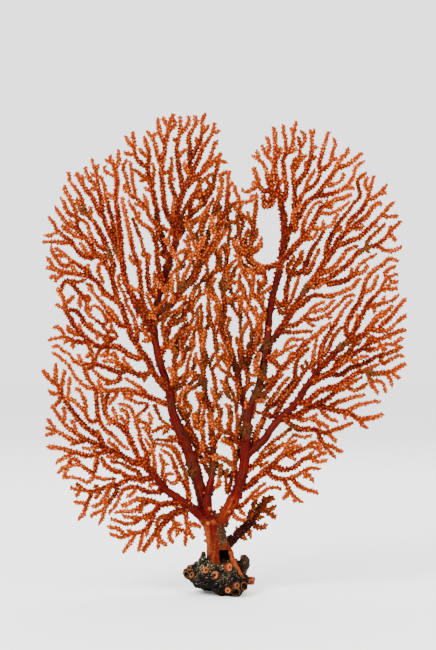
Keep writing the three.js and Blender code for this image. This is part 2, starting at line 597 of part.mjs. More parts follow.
// Every branch of the fan, each with the branch and the sample that it grows from
function growBranches() {
  const branches = [];
  for (const limb of LIMBS) {
    const own = [];
    limb.routes.trim().split('\n').forEach((line, row) => {
      const corners = readRoute(line);
      const hosts = row === 0 ? branches.filter((other) => other.limb.name === limb.from) : own;
      const root = hosts.length > 0 ? nearestSample(hosts, corners[0]) : null;
      if (root && root.distance > TWIG_TIP_WIDTH / 2) {
        const host = root.branch.samples[root.index];
        corners.unshift(new THREE.Vector2(host.x, host.z));
      }
      const samples = stepRoute(corners);
      const length = samples[samples.length - 1].run;
      const rootWidth = root ? root.branch.samples[root.index].width : Infinity;
      const plain = [TWIG_WIDTH + WIDTH_PER_LENGTH * length, TWIG_TIP_WIDTH];
      const [footWidth, endWidth] = row === 0 ? limb.width : plain;
      for (const sample of samples) {
        const width = THREE.MathUtils.lerp(footWidth, endWidth, sample.run / length);
        sample.width = Math.min(width, rootWidth);
      }
      own.push({ limb, row, samples, root });
    });
    branches.push(...own);
  }
  return branches;
}

// The way along the branches from one sample to another, or Infinity if no fork joins them nearby
function routeBetween(one, two) {
  const climb = (start) => {
    const stops = new Map();
    let { branch, index } = start;
    let way = 0;
    while (branch) {
      stops.set(branch, { way, run: branch.samples[index].run });
      way += branch.samples[index].run;
      index = branch.root ? branch.root.index : 0;
      branch = branch.root ? branch.root.branch : null;
    }
    return stops;
  };
  const first = climb(one);
  const second = climb(two);
  let shortest = Infinity;
  for (const [branch, stop] of first) {
    const other = second.get(branch);
    if (other) {
      shortest = Math.min(shortest, stop.way + other.way + Math.abs(stop.run - other.run));
    }
  }
  return shortest;
}

// Pairs of samples that lie over each other in the fan's plane and aren't joined by a fork there
function findCrossings(branches) {
  const cell = 12;
  const grid = new Map();
  const spots = [];
  for (const branch of branches) {
    branch.samples.forEach((sample, index) => spots.push({ branch, index, sample }));
  }
  spots.forEach((spot, order) => {
    const key = `${Math.floor(spot.sample.x / cell)},${Math.floor(spot.sample.z / cell)}`;
    spot.order = order;
    grid.set(key, [...(grid.get(key) ?? []), spot]);
  });
  const crossings = [];
  for (const spot of spots) {
    const column = Math.floor(spot.sample.x / cell);
    const level = Math.floor(spot.sample.z / cell);
    for (let i = -1; i <= 1; i += 1) {
      for (let j = -1; j <= 1; j += 1) {
        for (const other of grid.get(`${column + i},${level + j}`) ?? []) {
          if (other.order <= spot.order || other.branch === spot.branch) {
            continue;
          }
          const apart = (spot.sample.width + other.sample.width) / 2 + CROSSING_GAP;
          const seen = Math.hypot(spot.sample.x - other.sample.x, spot.sample.z - other.sample.z);
          const allowed = Math.hypot(apart, ROUTE_STEP / 2);
          if (seen < allowed && routeBetween(spot, other) > FORK_REACH * apart) {
            crossings.push({ one: spot, two: other, need: Math.sqrt(allowed ** 2 - seen ** 2) });
          }
        }
      }
    }
  }
  return crossings;
}

// Gives every sample its depth: near its limb's own depth, smooth, and clear of what it crosses
function settleDepths(branches) {
  const curve = (sample) => -FAN_CURVE * (sample.x / FAN_HALF_WIDTH) ** 2;
  for (const branch of branches) {
    const foot = branch.root ? branch.root.branch.samples[branch.root.index].y : 0;
    const aside = branch.row === 0 ? 0 : ROW_ASIDE * (branch.row % 2 === 0 ? 1 : -1);
    for (const sample of branch.samples) {
      const eased = THREE.MathUtils.smoothstep(sample.run, 0, DEPTH_RUN);
      sample.goal = branch.limb.depth + curve(sample) + aside;
      sample.y = THREE.MathUtils.lerp(foot, sample.goal, eased);
    }
  }
  const crossings = findCrossings(branches);
  for (let round = 0; round < RELAX_ROUNDS; round += 1) {
    for (const { one, two, need } of crossings) {
      const gap = two.sample.y - one.sample.y;
      const lack = need - Math.abs(gap);
      if (lack > 0) {
        const push = (gap < 0 ? -PUSH_SHARE : PUSH_SHARE) * lack;
        one.sample.y -= push;
        two.sample.y += push;
      }
    }
    for (const branch of branches) {
      const { samples, root } = branch;
      if (root) {
        samples[0].y = root.branch.samples[root.index].y;
      }
      for (let i = 1; i < samples.length; i += 1) {
        const after = samples[Math.min(i + 1, samples.length - 1)].y;
        const middle = (samples[i - 1].y + after) / 2;
        const shift = EVEN_SHARE * (middle - samples[i].y) + GOAL_SHARE * (samples[i].goal - samples[i].y);
        samples[i].y += shift;
      }
    }
  }
}

// Drops the samples that a straight run between their neighbours passes close by
function thinned(samples) {
  const place = (sample) => new THREE.Vector3(sample.x, sample.y, sample.z);
  const keep = (from, to) => {
    const line = new THREE.Line3(place(samples[from]), place(samples[to]));
    const closest = new THREE.Vector3();
    let worst = ROUTE_TOLERANCE;
    let split = 0;
    for (let i = from + 1; i < to; i += 1) {
      const spot = place(samples[i]);
      const distance = line.closestPointToPoint(spot, true, closest).distanceTo(spot);
      if (distance > worst) {
        worst = distance;
        split = i;
      }
    }
    return split === 0 ? [from] : [...keep(from, split), ...keep(split, to)];
  };
  const last = samples.length - 1;
  return [...keep(0, last), last].map((index) => samples[index]);
}

function isKept(branch) {
  return branch.row === 0 || branch.samples[branch.samples.length - 1].run > SHORTEST_TWIG;
}

// A branch's samples without those that are still inside what it grows from
function clearedRoot(branch) {
  if (!branch.root) {
    return branch.samples;
  }
  const inside = branch.root.branch.samples[branch.root.index].width * ROOT_CLEARANCE;
  return branch.samples.filter((sample) => sample.run === 0 || sample.run > inside);
}

// A closed geometry with its shared vertices merged, as a solid that can be joined and cut
function toSolid(geometry) {
  const bare = geometry.clone();
  bare.deleteAttribute('normal');
  bare.deleteAttribute('uv');
  const merged = mergeVertices(bare, 1e-4);
  return new wasm.Manifold(new wasm.Mesh({
    numProp: 3,
    vertProperties: new Float32Array(merged.attributes.position.array),
    triVerts: new Uint32Array(merged.index.array),
  }));
}

function toGeometry(solid) {
  const mesh = solid.getMesh();
  const geometry = new THREE.BufferGeometry();
  geometry.setAttribute('position', new THREE.BufferAttribute(new Float32Array(mesh.vertProperties), 3));
  geometry.setIndex(new THREE.BufferAttribute(new Uint32Array(mesh.triVerts), 1));
  geometry.computeVertexNormals();
  return geometry;
}

// A round bar along a route, as wide as its samples say, closed by a short point at each end
function barGeometry(samples, sides, extra) {
  const places = samples.map((sample) => new THREE.Vector3(sample.x, sample.y, sample.z));
  const last = places.length - 1;
  const vertices = [];
  const faces = [];
  const ahead = new THREE.Vector3();
  const across = new THREE.Vector3();
  const up = new THREE.Vector3();
  places.forEach((place, i) => {
    ahead.subVectors(places[Math.min(i + 1, last)], places[Math.max(i - 1, 0)]).normalize();
    across.crossVectors(ahead, new THREE.Vector3(0, 1, 0)).normalize();
    up.crossVectors(ahead, across);
    const radius = samples[i].width / 2 + extra;
    for (let k = 0; k < sides; k += 1) {
      const angle = ((k + 0.5 * (i % 2)) * 2 * Math.PI) / sides;
      const spot = place.clone();
      spot.addScaledVector(across, radius * Math.cos(angle));
      spot.addScaledVector(up, radius * Math.sin(angle));
      vertices.push(spot.x, spot.y, spot.z);
    }
  });
  const point = (end, inner, reach) => {
    const spot = end.clone().sub(inner).setLength(reach).add(end);
    vertices.push(spot.x, spot.y, spot.z);
  };
  point(places[0], places[1], 0.35 * samples[0].width + extra);
  point(places[last], places[last - 1], 0.35 * samples[last].width + extra);
  const foot = places.length * sides;
  for (let k = 0; k < sides; k += 1) {
    const next = (k + 1) % sides;
    faces.push(foot, next, k);
    faces.push(foot + 1, last * sides + k, last * sides + next);
    for (let i = 0; i < last; i += 1) {
      const low = i * sides;
      const high = low + sides;
      if (i % 2 === 0) {
        faces.push(low + k, low + next, high + k);
        faces.push(low + next, high + next, high + k);
      } else {
        faces.push(low + k, low + next, high + next);
        faces.push(low + k, high + next, high + k);
      }
    }
  }
  const geometry = new THREE.BufferGeometry();
  geometry.setAttribute('position', new THREE.Float32BufferAttribute(vertices, 3));
  geometry.setIndex(faces);
  return geometry;
}

function joined(solids) {
  return solids.reduce((whole, solid) => whole.add(solid));
}

// A short bar by a route of the photograph, its depth changing evenly from foot to end
function stubSolid({ route, width: [footWidth, endWidth], y: [footY, endY] }, extra) {
  const samples = stepRoute(readRoute(route));
  const length = samples[samples.length - 1].run;
  for (const sample of samples) {
    sample.y = THREE.MathUtils.lerp(footY, endY, sample.run / length);
    sample.width = THREE.MathUtils.lerp(footWidth, endWidth, sample.run / length);
  }
  return toSolid(barGeometry(thinned(samples), STUB_SIDES, extra));
}

// A limb's branches as one solid, all of it fatter by a little where it is to cut a neighbour
function limbSolid(limb, branches, extra) {
  const kept = branches.filter((branch) => branch.limb === limb && isKept(branch));
  const bars = kept.map((branch) => {
    const sides = branch.row === 0 ? limb.sides ?? 3 : 3;
    return toSolid(barGeometry(thinned(clearedRoot(branch)), sides, extra));
  });
  if (limb.name === 'trunk') {
    bars.push(...FOOT_ROUTES.map((foot) => stubSolid(foot, extra)));
  }
  return joined(bars);
}

function rockGeometry() {
  const geometry = new THREE.IcosahedronGeometry(1, ROCK_DETAIL);
  geometry.scale(ROCK_HALF_SIZE.x, ROCK_HALF_SIZE.y, ROCK_HALF_SIZE.z);
  geometry.translate(ROCK_MIDDLE.x, ROCK_MIDDLE.y, ROCK_MIDDLE.z);
  const places = geometry.attributes.position;
  const place = new THREE.Vector3();
  for (let i = 0; i < places.count; i += 1) {
    place.fromBufferAttribute(places, i);
    const outward = place.clone().sub(ROCK_MIDDLE).normalize();
    let lift = 0.7 * Math.sin(place.x * 0.9 + 2) * Math.sin(place.y * 0.8) * Math.sin(place.z * 0.75 + 1);
    for (const { at, reach, height } of ROCK_BUMPS) {
      const near = place.distanceTo(new THREE.Vector3(...at)) / reach;
      lift += height * Math.exp(-near * near);
    }
    place.addScaledVector(outward, lift);
    places.setXYZ(i, place.x, place.y, place.z);
  }
  return geometry;
}

// A cup coral: a low ring with a pit, its axis along +Y
function cupGeometry(radius, height) {
  const profile = [
    [0, -height],
    [0.95, -height],
    [1, 0.35 * height],
    [0.82, height],
    [0.5, 0.9 * height],
    [0.34, 0.25 * height],
    [0, 0.1 * height],
  ].map(([across, up], k) => new THREE.Vector2(k === 0 || k === 6 ? 0 : across * radius, up));
  return new THREE.LatheGeometry(profile, CUP_SIDES);
}

// Sets a cup on the rock where the photograph shows it, square to the surface there
function placedCup(rockMesh, { pixel, radius, height }) {
  const { x, y: z } = fromPixel(pixel);
  const ray = new THREE.Raycaster(new THREE.Vector3(x, -100, z), new THREE.Vector3(0, 1, 0));
  const hit = ray.intersectObject(rockMesh)[0];
  const outward = hit ? hit.face.normal.clone() : new THREE.Vector3(Math.sign(x), -0.4, 0.2);
  const foot = hit ? hit.point : new THREE.Vector3(x, 0, z);
  const cup = cupGeometry(radius, height);
  cup.applyQuaternion(new THREE.Quaternion().setFromUnitVectors(new THREE.Vector3(0, 1, 0), outward.normalize()));
  cup.translate(foot.x, foot.y, foot.z);
  return toSolid(cup);
}

function rockSolid() {
  const geometry = rockGeometry();
  const rockMesh = new THREE.Mesh(geometry);
  const ground = new THREE.BoxGeometry(200, 200, 60);
  ground.translate(0, 0, -30);
  const pieces = [toSolid(geometry), ...CUPS.map((cup) => placedCup(rockMesh, cup))];
  pieces.push(stubSolid(FINGER, 0), stubSolid(LUMP, 0));
  return joined(pieces).subtract(toSolid(ground));
}

function hollowSolid() {
  const hollow = new THREE.SphereGeometry(1, 10, 8);
  hollow.scale(HOLLOW_HALF_SIZE.x, HOLLOW_HALF_SIZE.y, HOLLOW_HALF_SIZE.z);
  const { x, y: z } = fromPixel(HOLLOW_PIXEL);
  hollow.translate(x, HOLLOW_Y, z);
  return toSolid(hollow);
}

// The largest of the bodies that a cut leaves
function largestBody(solid) {
  return solid.decompose().reduce((best, body) => (body.volume() > best.volume() ? body : best));
}

function boxesMeet(one, two) {
  const a = one.boundingBox();
  const b = two.boundingBox();
  return [0, 1, 2].every((k) => a.min[k] <= b.max[k] + FORK_GAP && b.min[k] <= a.max[k] + FORK_GAP);
}

// Cuts each solid clear of every one before it in the list
function cutClear(pieces) {
  pieces.forEach((piece, later) => {
    for (const earlier of pieces.slice(0, later)) {
      if (boxesMeet(piece.solid, earlier.fat) && !piece.solid.intersect(earlier.fat).isEmpty()) {
        piece.solid = largestBody(piece.solid.subtract(earlier.fat));
      }
    }
  });
}

function buildPieces() {
  const branches = growBranches();
  settleDepths(branches);
  const pieces = LIMBS.map((limb) => ({
    name: limb.name,
    solid: limbSolid(limb, branches, 0),
    fat: limbSolid(limb, branches, FORK_GAP),
    colour: (limb.sides ?? 0) > 5 ? STEM_COLOUR : TWIG_COLOUR,
  }));
  pieces[0].solid = pieces[0].solid.subtract(hollowSolid());
  pieces.push({ name: 'holdfast_rock', solid: rockSolid(), fat: null, colour: ROCK_COLOUR });
  cutClear(pieces);
  return pieces;
}

const group = new THREE.Group();
for (const { name, solid, colour } of buildPieces()) {
  const material = new THREE.MeshStandardMaterial({ color: colour, roughness: 0.75, metalness: 0 });
  const mesh = new THREE.Mesh(toGeometry(solid), material);
  mesh.name = name;
  group.add(mesh);
}

// The origin goes on the ground under the middle of the whole
const box = new THREE.Box3().setFromObject(group);
for (const mesh of group.children) {
  mesh.geometry.translate(-(box.min.x + box.max.x) / 2, -(box.min.y + box.max.y) / 2, -box.min.z);
}

export default group;
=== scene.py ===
# A dried sea fan standing on the lump of rock it grew on
import json
import math
import bmesh
import bpy
import numpy as np
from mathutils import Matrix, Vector, noise
from mathutils.bvhtree import BVHTree

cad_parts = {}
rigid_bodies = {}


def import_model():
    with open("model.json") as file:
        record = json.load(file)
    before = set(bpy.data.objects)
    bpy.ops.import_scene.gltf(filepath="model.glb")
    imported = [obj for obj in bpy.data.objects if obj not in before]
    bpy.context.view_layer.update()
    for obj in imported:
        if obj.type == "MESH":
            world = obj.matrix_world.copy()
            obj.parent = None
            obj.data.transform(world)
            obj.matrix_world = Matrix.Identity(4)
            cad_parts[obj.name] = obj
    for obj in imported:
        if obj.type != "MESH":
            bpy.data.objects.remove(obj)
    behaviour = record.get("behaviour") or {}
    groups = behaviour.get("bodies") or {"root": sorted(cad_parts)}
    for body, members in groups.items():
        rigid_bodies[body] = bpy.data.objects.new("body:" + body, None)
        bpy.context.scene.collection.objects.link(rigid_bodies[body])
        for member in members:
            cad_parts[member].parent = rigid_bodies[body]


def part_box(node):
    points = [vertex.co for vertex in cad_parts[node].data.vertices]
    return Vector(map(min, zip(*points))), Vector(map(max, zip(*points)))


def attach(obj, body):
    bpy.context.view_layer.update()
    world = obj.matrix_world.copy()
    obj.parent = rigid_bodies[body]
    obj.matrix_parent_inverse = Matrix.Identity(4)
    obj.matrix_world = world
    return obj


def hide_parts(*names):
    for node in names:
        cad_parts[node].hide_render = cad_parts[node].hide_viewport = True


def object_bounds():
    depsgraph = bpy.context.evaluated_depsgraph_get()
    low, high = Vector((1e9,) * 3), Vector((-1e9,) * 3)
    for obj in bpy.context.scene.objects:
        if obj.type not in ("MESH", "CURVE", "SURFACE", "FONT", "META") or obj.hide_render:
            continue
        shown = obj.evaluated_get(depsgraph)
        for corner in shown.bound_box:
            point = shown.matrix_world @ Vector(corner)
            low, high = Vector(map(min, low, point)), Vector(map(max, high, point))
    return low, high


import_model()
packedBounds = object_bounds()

mm = 0.001
photo = {
    "middleX": 223, "groundY": 593, "fanPixels": 481, "wide": 436, "high": 650,  # pixels
    "fanHeight": 300.0, "distance": 1150.0,  # mm
}
mmPerPixel = photo["fanHeight"] / photo["fanPixels"]


# Branch routes: read off the photograph, in its pixels, foot to tip, one branch to a line
# (a backslash carries a long one on)
limbs = {
    "trunk": {"parent": None, "depth": 0, "width": (15.2, 12), "routes": """
    218,572 218,562 218,552 217,542 215,532 211,521"""},
    "left_stem": {"parent": "trunk", "depth": -1, "width": (9, 5.4), "routes": """
    212,530 208,518 205,510 201,494 197,478 191,458 184,440 177,424 172,408 169,393"""},
    "left_upper_stem": {"parent": "left_stem", "depth": 2, "width": (5.2, 3.6), "routes": """
    171,399 168,388 164,376 158,356 154,338 153,322 156,306 160,290 164,276 168,262 174,248 176,234 \
        177,218 178,204
    157,304 157,297 150,293 148,285 147,276 148,268 148,260 146,254 143,248 141,241 140,236
    156,298 155,283 153,276 154,272"""},
    "middle_stem": {"parent": "trunk", "depth": 4, "width": (5.4, 3.2), "routes": """
    210,522 208,512 208,500 209,488 212,476 213,464 213,452 212,440 212,430 211,418 210,410
    210,410 206,400 205,390 204,378 203,362 202,350 200,338 198,324
    212,412 216,400 216,388 214,378
    207,462 206,457 205,450 204,441 202,433 201,426 203,415
    202,433 199,428 198,418 199,411 200,404
    213,452 216,440 221,434 220,424 219,414 218,404
    203,366 202,350 201,330 201,303
    209,490 221,486 220,478"""},
    "right_stem": {"parent": "trunk", "depth": -2, "width": (8.4, 5.4), "routes": """
    213,534 218,526 228,510 233,500 238,490 241,480 244,465 246,450 247,435 247,420 248,409
    231,507 240,507 246,501 250,498 254,492 259,487 265,483
    250,498 257,498 260,494 264,490 270,488
    232,506 234,517 238,521 245,520
    238,508 243,514 246,516
    237,490 236,474 235,465 235,455 234,448 229,443 224,436
    246,445 238,443 233,440 230,432 230,420 228,412 231,405
    236,442 237,430 238,420 236,412
    236,470 229,462 222,458"""},
    "right_upper_stem": {"parent": "right_stem", "depth": -2, "width": (5.2, 3.7), "routes": """
    248,414 252,403 256,395 259,385 262,372 265,360 267,348 268,335 269,320 271,305 273,295 276,283 \
        279,272 281,262 283,250 284,238 284,228 283,215 281,204"""},
    "right_inner_stem": {"parent": "right_stem", "depth": 3, "width": (4.4, 3.0), "routes": """
    247,420 247,412 243,403 240,392 239,381 237,371 234,363 232,355 229,347 225,339 222,331 221,320 \
        220,308 216,297
    238,371 243,363 242,352 241,340 241,328 240,318
    221,320 225,310 224,297 223,285 224,275 227,266 227,255 228,244 229,235 232,228
    225,288 231,280 233,273 236,266 241,261
    227,497 226,488 226,478"""},
    "left_low_limb": {"parent": "trunk", "depth": -4, "width": (6.6, 3.6), "routes": """
    210,524 204,520 196,511 188,504 180,499 171,493 163,486 157,478 151,470 145,465
    148,466 148,458 146,450 142,444 140,436 139,428 136,420 133,412
    155,474 155,462 154,452 151,446
    188,504 190,497 188,489 184,483 180,477 176,470 174,462 172,455 166,452 160,449
    187,487 187,478 185,470 182,463 178,456 175,449 168,446 157,444
    180,477 174,485 168,480
    166,486 163,478 168,472 174,474
    163,478 163,468 163,462 168,464
    166,489 160,491 154,492 148,492 142,489 137,486 131,486 125,488 120,491 121,496 116,503 114,508
    136,487 134,493"""},
    "left_low_spray_top": {"parent": "left_low_limb", "depth": -3, "width": (3.4, 2.6), "routes": """
    147,466 140,458 136,452 133,446 131,438 127,431 122,426 117,423 112,420 107,418 105,412 105,400 \
        108,394 110,392
    117,423 115,412 113,406
    127,431 127,424 123,419 120,415
    105,412 103,396 100,388
    157,446 152,440 149,434 146,428 143,427
    149,434 150,424 140,421 136,419 138,413 143,411"""},
    "left_low_spray_outer": {"parent": "left_low_limb", "depth": -1, "width": (3.6, 2.6), "routes": """
    148,467 143,464 135,462 127,460 121,455 116,451 109,450 104,446 101,441 99,436 94,432 88,428 82,423 \
        76,416 70,406 64,398 61,391 60,386 57,382 52,381 46,374 43,370
    57,383 56,375 56,363
    61,390 64,380 65,370
    61,393 54,394 50,394 49,389
    62,396 59,401 58,405 54,405 51,408
    104,447 96,444 90,440 84,438 79,434 74,431 68,428 64,421 60,416 56,411 53,405
    86,440 78,442 72,440 66,436 60,433 55,430 50,429 46,427
    56,430 53,424 48,418"""},
    "left_low_spray_middle": {"parent": "left_low_spray_outer", "depth": -6, "width": (3.0, 2.5),
                              "routes": """
    110,450 104,452 97,453 91,455 85,455 80,452 74,451 62,447 49,446
    74,452 68,456 57,462
    96,453 94,444 92,450 87,448 83,447
    97,454 97,462 97,468 95,474 90,470 86,467 80,462 76,464 69,464 64,468
    95,474 93,479 90,482 86,481
    95,475 100,478 106,479 110,478"""},
    "left_low_spray_lower": {"parent": "left_low_limb", "depth": 1, "width": (3.4, 2.5), "routes": """
    156,477 146,479 140,478 133,478 127,477 122,473 115,471 107,467 104,464 101,457
    129,478 123,483 118,485 111,485 106,488 100,489 94,491 84,490 78,490 71,487
    100,490 100,494 95,499
    92,491 91,497 85,503 87,508 85,513 78,519
    86,503 80,503 74,501
    117,486 117,491 114,496 107,504 104,509 104,515 99,524
    141,478 140,472 134,470 128,467 122,464 116,462 110,461"""},
    "left_low_spray_bottom": {"parent": "left_low_limb", "depth": -4, "width": (3.6, 2.6), "routes": """
    184,502 173,502 166,504 160,505 156,502 150,500 138,498 132,499 128,503
    152,501 147,501 142,505 137,508 130,511 123,511 115,512
    160,505 157,510 152,513 147,516 142,518 137,521 131,524 124,523 118,521 111,518
    142,518 136,517 123,516
    154,512 152,519 151,524 147,528 143,531 137,532 131,534 126,535 121,538 116,535 110,533
    143,531 142,536 141,542 138,551
    135,534 133,540 128,544 123,552"""},
    "left_base_spray": {"parent": "left_low_limb", "depth": 2, "width": (4.0, 2.6), "routes": """
    194,508 188,508 181,511 175,513 170,516 166,521 161,526 157,531 154,537 149,542 143,552
    157,531 159,537 160,541 157,549
    160,541 167,546
    172,515 173,521 176,526 179,530 176,537
    179,530 184,530 188,532 186,538 184,546
    186,509 186,518 187,525 188,532 192,534 194,539
    187,523 196,525 201,527"""},
    "left_mid_limb": {"parent": "left_upper_stem", "depth": 0, "width": (3.8, 2.6), "routes": """
    169,392 162,383 156,376 151,367 146,358 141,350 136,344 131,337 129,330 127,322 124,312 121,304 \
        117,300 111,298 107,295 103,290 99,285 95,280 90,277 84,275 78,274 66,273 57,270 47,268
    55,270 52,263 47,257
    66,273 58,277 55,282
    92,277 88,271 83,268 78,265 74,261 70,260 67,256 63,252 55,248
    70,260 71,266 77,273
    67,256 60,257 57,255
    125,326 120,326 115,320 109,314 104,306 100,300 96,296 92,292 87,288
    118,322 112,310 107,306
    137,345 137,330 135,318 131,314 128,307 126,303"""},
    "left_mid_spray_upper": {"parent": "left_mid_limb", "depth": 5, "width": (3.4, 2.5), "routes": """
    145,357 135,358 129,355 123,350 117,347 110,346 104,347 98,347 93,344 89,340 85,338 81,334 77,329 \
        73,324 70,319 67,313 65,308 65,302 62,296 57,289
    65,309 60,308 56,304
    60,292 62,285 66,280 73,281 80,282 86,279
    66,280 72,284 77,289 81,295 86,299 87,306 87,312 91,318 96,320
    67,311 73,309 78,312 82,318 85,324 88,329 94,331 99,334 104,338 107,346
    89,341 85,343 78,343 73,341 68,338 64,335 60,338 54,339 48,340
    64,335 60,328 57,325 53,328
    73,341 72,345 73,349
    88,341 90,352 93,357 92,363"""},
    "left_mid_spray_middle": {"parent": "left_mid_limb", "depth": 1, "width": (3.2, 2.5), "routes": """
    152,370 146,375 140,376 133,372 127,370 122,366 117,362 110,360 103,361
    133,372 128,365 123,362
    128,370 120,373 114,371 108,368 102,366 96,364 90,364 84,364 79,366 75,363 72,358 69,352 64,352
    82,364 79,358 78,354
    83,364 86,374 89,380 93,385 97,388
    120,373 118,383 112,382 106,380 100,377 96,373 92,369
    117,362 115,352 109,356 100,356"""},
    "left_mid_spray_lower": {"parent": "left_stem", "depth": -5, "width": (3.2, 2.5), "routes": """
    172,405 160,402 150,398 144,396 138,393 132,391 126,389 118,390 116,390 110,391 104,390 100,386 99,380
    150,398 144,392 138,386 132,382 126,378
    118,390 117,396 112,400 109,405
    104,390 97,388 92,389 87,386 82,384 79,379 75,374 72,369
    97,389 97,398 97,405 98,412 99,418 102,424 106,430 112,434 118,440 124,446 130,449
    99,418 93,424 88,418 87,411 83,409 79,404 76,400 72,397
    87,411 87,402 84,396 81,390 76,387
    76,400 68,400 69,393 71,387"""},
    "upper_left_limb": {"parent": "left_upper_stem", "depth": -2, "width": (4.0, 2.6), "routes": """
    155,341 151,329 147,322 142,315 138,308 134,300 131,293 127,285 124,277 123,268 122,258 121,248 \
        121,238 119,228 118,218 117,208 116,198 117,188 117,178 116,170 113,164 110,160 110,156
    116,168 119,163 119,150
    112,163 105,160
    117,178 110,174
    116,200 114,198 110,195 106,193
    152,340 147,336 142,328
    144,318 150,316 156,318
    126,284 134,290 142,291
    151,329 144,330 138,331 134,328"""},
    "upper_left_spray_outer": {"parent": "left_mid_limb", "depth": 3, "width": (3.4, 2.5), "routes": """
    118,300 117,298 115,290 113,283 111,275 108,268 104,263 101,258 97,256 95,253 91,247 87,240 83,235 \
        79,231 75,228 78,223 77,218 76,212 74,207 71,200 67,193
    76,228 70,226 66,224 63,219 60,213 55,207
    77,218 72,215 67,212 65,205 60,197
    97,256 93,259 88,259 84,256 80,253 76,252 74,246 71,241 67,238 62,235 58,231 55,226 52,221 48,216
    73,242 66,243 60,243 54,241 51,243 47,241 42,242
    58,231 54,234
    103,263 99,262 97,270 100,276 104,283
    112,277 113,262 110,256 108,250 105,243 101,234 98,228 94,222 90,218 86,214 84,208 82,200 80,193 \
        76,189 70,182
    104,250 100,248 96,245 93,240 90,234 88,228 87,222 82,220 79,218"""},
    "upper_left_spray_inner": {"parent": "upper_left_limb", "depth": 3, "width": (3.2, 2.5), "routes": """
    122,262 118,256 115,250 113,240 110,233 107,227 104,220 101,213 98,210 95,204 92,197 88,192 84,187 \
        81,182 76,173
    83,184 82,175
    102,215 102,207 101,199 99,192 97,186 97,177 96,171 94,166 91,159
    96,170 98,164
    97,186 94,183 89,179 86,173 85,166
    121,246 116,236 113,225 111,218 109,210 107,203 106,196 104,185 103,179 99,176"""},
    "upper_left_spray_right": {"parent": "left_upper_stem", "depth": -6, "width": (3.2, 2.5),
                               "routes": """
    154,324 150,316 147,311 143,308 142,300 142,290 141,280 139,268 138,262 133,250 131,240 129,228 \
        126,214
    139,268 141,260
    155,312 151,304 148,297 146,292
    142,308 137,318"""},
    "crown_left_spray": {"parent": "left_upper_stem", "depth": 0, "width": (3.2, 2.5), "routes": """
    161,287 162,283 159,272 157,262 157,252 156,243 154,235 151,229 146,227 141,224 138,219 139,212
    156,243 158,234 157,224 152,220 148,214 145,208 140,206 134,204
    148,213 147,207 147,201 144,195
    145,208 141,203 136,198 134,190 133,182 131,169
    136,198 130,196 128,190 127,182 126,176 123,171
    140,223 137,214 134,210 130,206 129,200"""},
    "crown_back_spray": {"parent": "left_upper_stem", "depth": 6, "width": (3.4, 2.5), "routes": """
    169,262 165,252 163,242 161,233 158,226 157,216 156,207 154,198 152,190 150,180 148,172 147,166 \
        149,160 149,153 148,147 145,141 143,135
    152,188 153,176 155,170 152,162
    149,157 144,155 143,151 139,147
    147,166 142,165 139,161 136,157 134,152 134,146 133,140 132,130
    134,153 128,154
    134,147 128,142 124,139 125,135
    149,178 143,177 139,172 131,168
    152,191 147,190 144,186
    159,229 165,228 163,224"""},
    "crown_middle_spray": {"parent": "left_upper_stem", "depth": -4, "width": (3.4, 2.5), "routes": """
    176,238 174,226 170,221 166,214 164,206 164,198 163,190 162,182 161,174 161,166 163,160 165,153 \
        165,146 167,138 169,130 169,124 172,119 173,114
    165,144 161,137 159,130 158,118
    168,127 164,122
    161,166 157,154 156,148 154,142 153,138 147,132
    153,138 157,133
    170,221 173,210 174,199"""},
    "crown_top_spray": {"parent": "left_upper_stem", "depth": 1, "width": (3.4, 2.5), "routes": """
    178,206 181,196 184,189 188,182 190,174 190,166 189,155 190,148 188,140 189,133 193,129 197,122
    183,191 181,180 179,170 178,160 177,150 177,143 179,137 181,130 180,116
    177,143 173,137
    181,132 187,127 190,121 188,115
    178,158 183,151 187,148
    178,202 174,194 171,187 170,178 171,168 172,156
    171,173 166,174 162,172
    171,180 175,179
    190,160 194,152 198,145 201,138 202,129 202,121 206,112
    198,146 196,136
    202,132 207,130 209,124
    202,121 203,115"""},
    "crown_right_spray": {"parent": "crown_top_spray", "depth": -5, "width": (3.0, 2.5), "routes": """
    187,186 194,180 200,174 206,170 211,165 215,160 219,158 221,153
    217,160 227,163
    202,172 206,164 211,159 212,152 214,146
    190,173 195,167 199,160 201,152 204,145 209,139 213,134 214,123
    214,133 220,131"""},
    "crown_inner_spray": {"parent": "left_upper_stem", "depth": 4, "width": (3.2, 2.5), "routes": """
    176,240 183,229 186,222 189,215 195,210 201,206 206,200 209,193 213,186 214,178 216,170 218,161
    190,214 191,204 193,197 197,189 201,182 207,177 213,172
    180,232 181,216 185,207 189,201
    213,187 208,186 206,178
    195,197 201,190 206,192
    186,222 194,221 200,217 207,213"""},
    "middle_crown_limb": {"parent": "left_upper_stem", "depth": -4, "width": (4.0, 2.6), "routes": """
    154,318 158,313 166,310 172,303 177,295 183,288 190,284 195,277 198,270 201,263 203,255 204,247 \
        206,240 209,232 211,224 213,216 215,208 218,200 220,192 222,185
    203,262 210,250 214,243 217,235 220,228 222,222 225,214 228,209 232,205 238,202 243,202 248,204 \
        253,200 258,198
    225,214 226,208 227,198 228,188 227,180 230,172
    228,188 233,182
    202,262 213,250 217,244 221,238 225,233
    199,268 198,252 194,244 191,231
    202,260 197,248 198,238
    204,250 201,236 203,227 206,219 208,213
    198,262 197,256 190,251 186,248 178,254
    190,251 189,245 183,240
    174,301 182,298 187,295
    175,299 172,293 173,282
    178,294 178,285 177,276 178,268
    182,289 182,281 185,274 189,267 192,262"""},
    "inner_left_spray": {"parent": "left_upper_stem", "depth": 6, "width": (3.4, 2.5), "routes": """
    158,360 164,350 166,341 168,332 169,323 174,317 179,311 183,305 187,301
    167,341 162,334 163,323
    167,346 174,339 179,333 182,327
    169,326 177,323 183,318 187,311 190,304 191,296 194,290 199,284 203,279
    190,308 194,308 197,300"""},
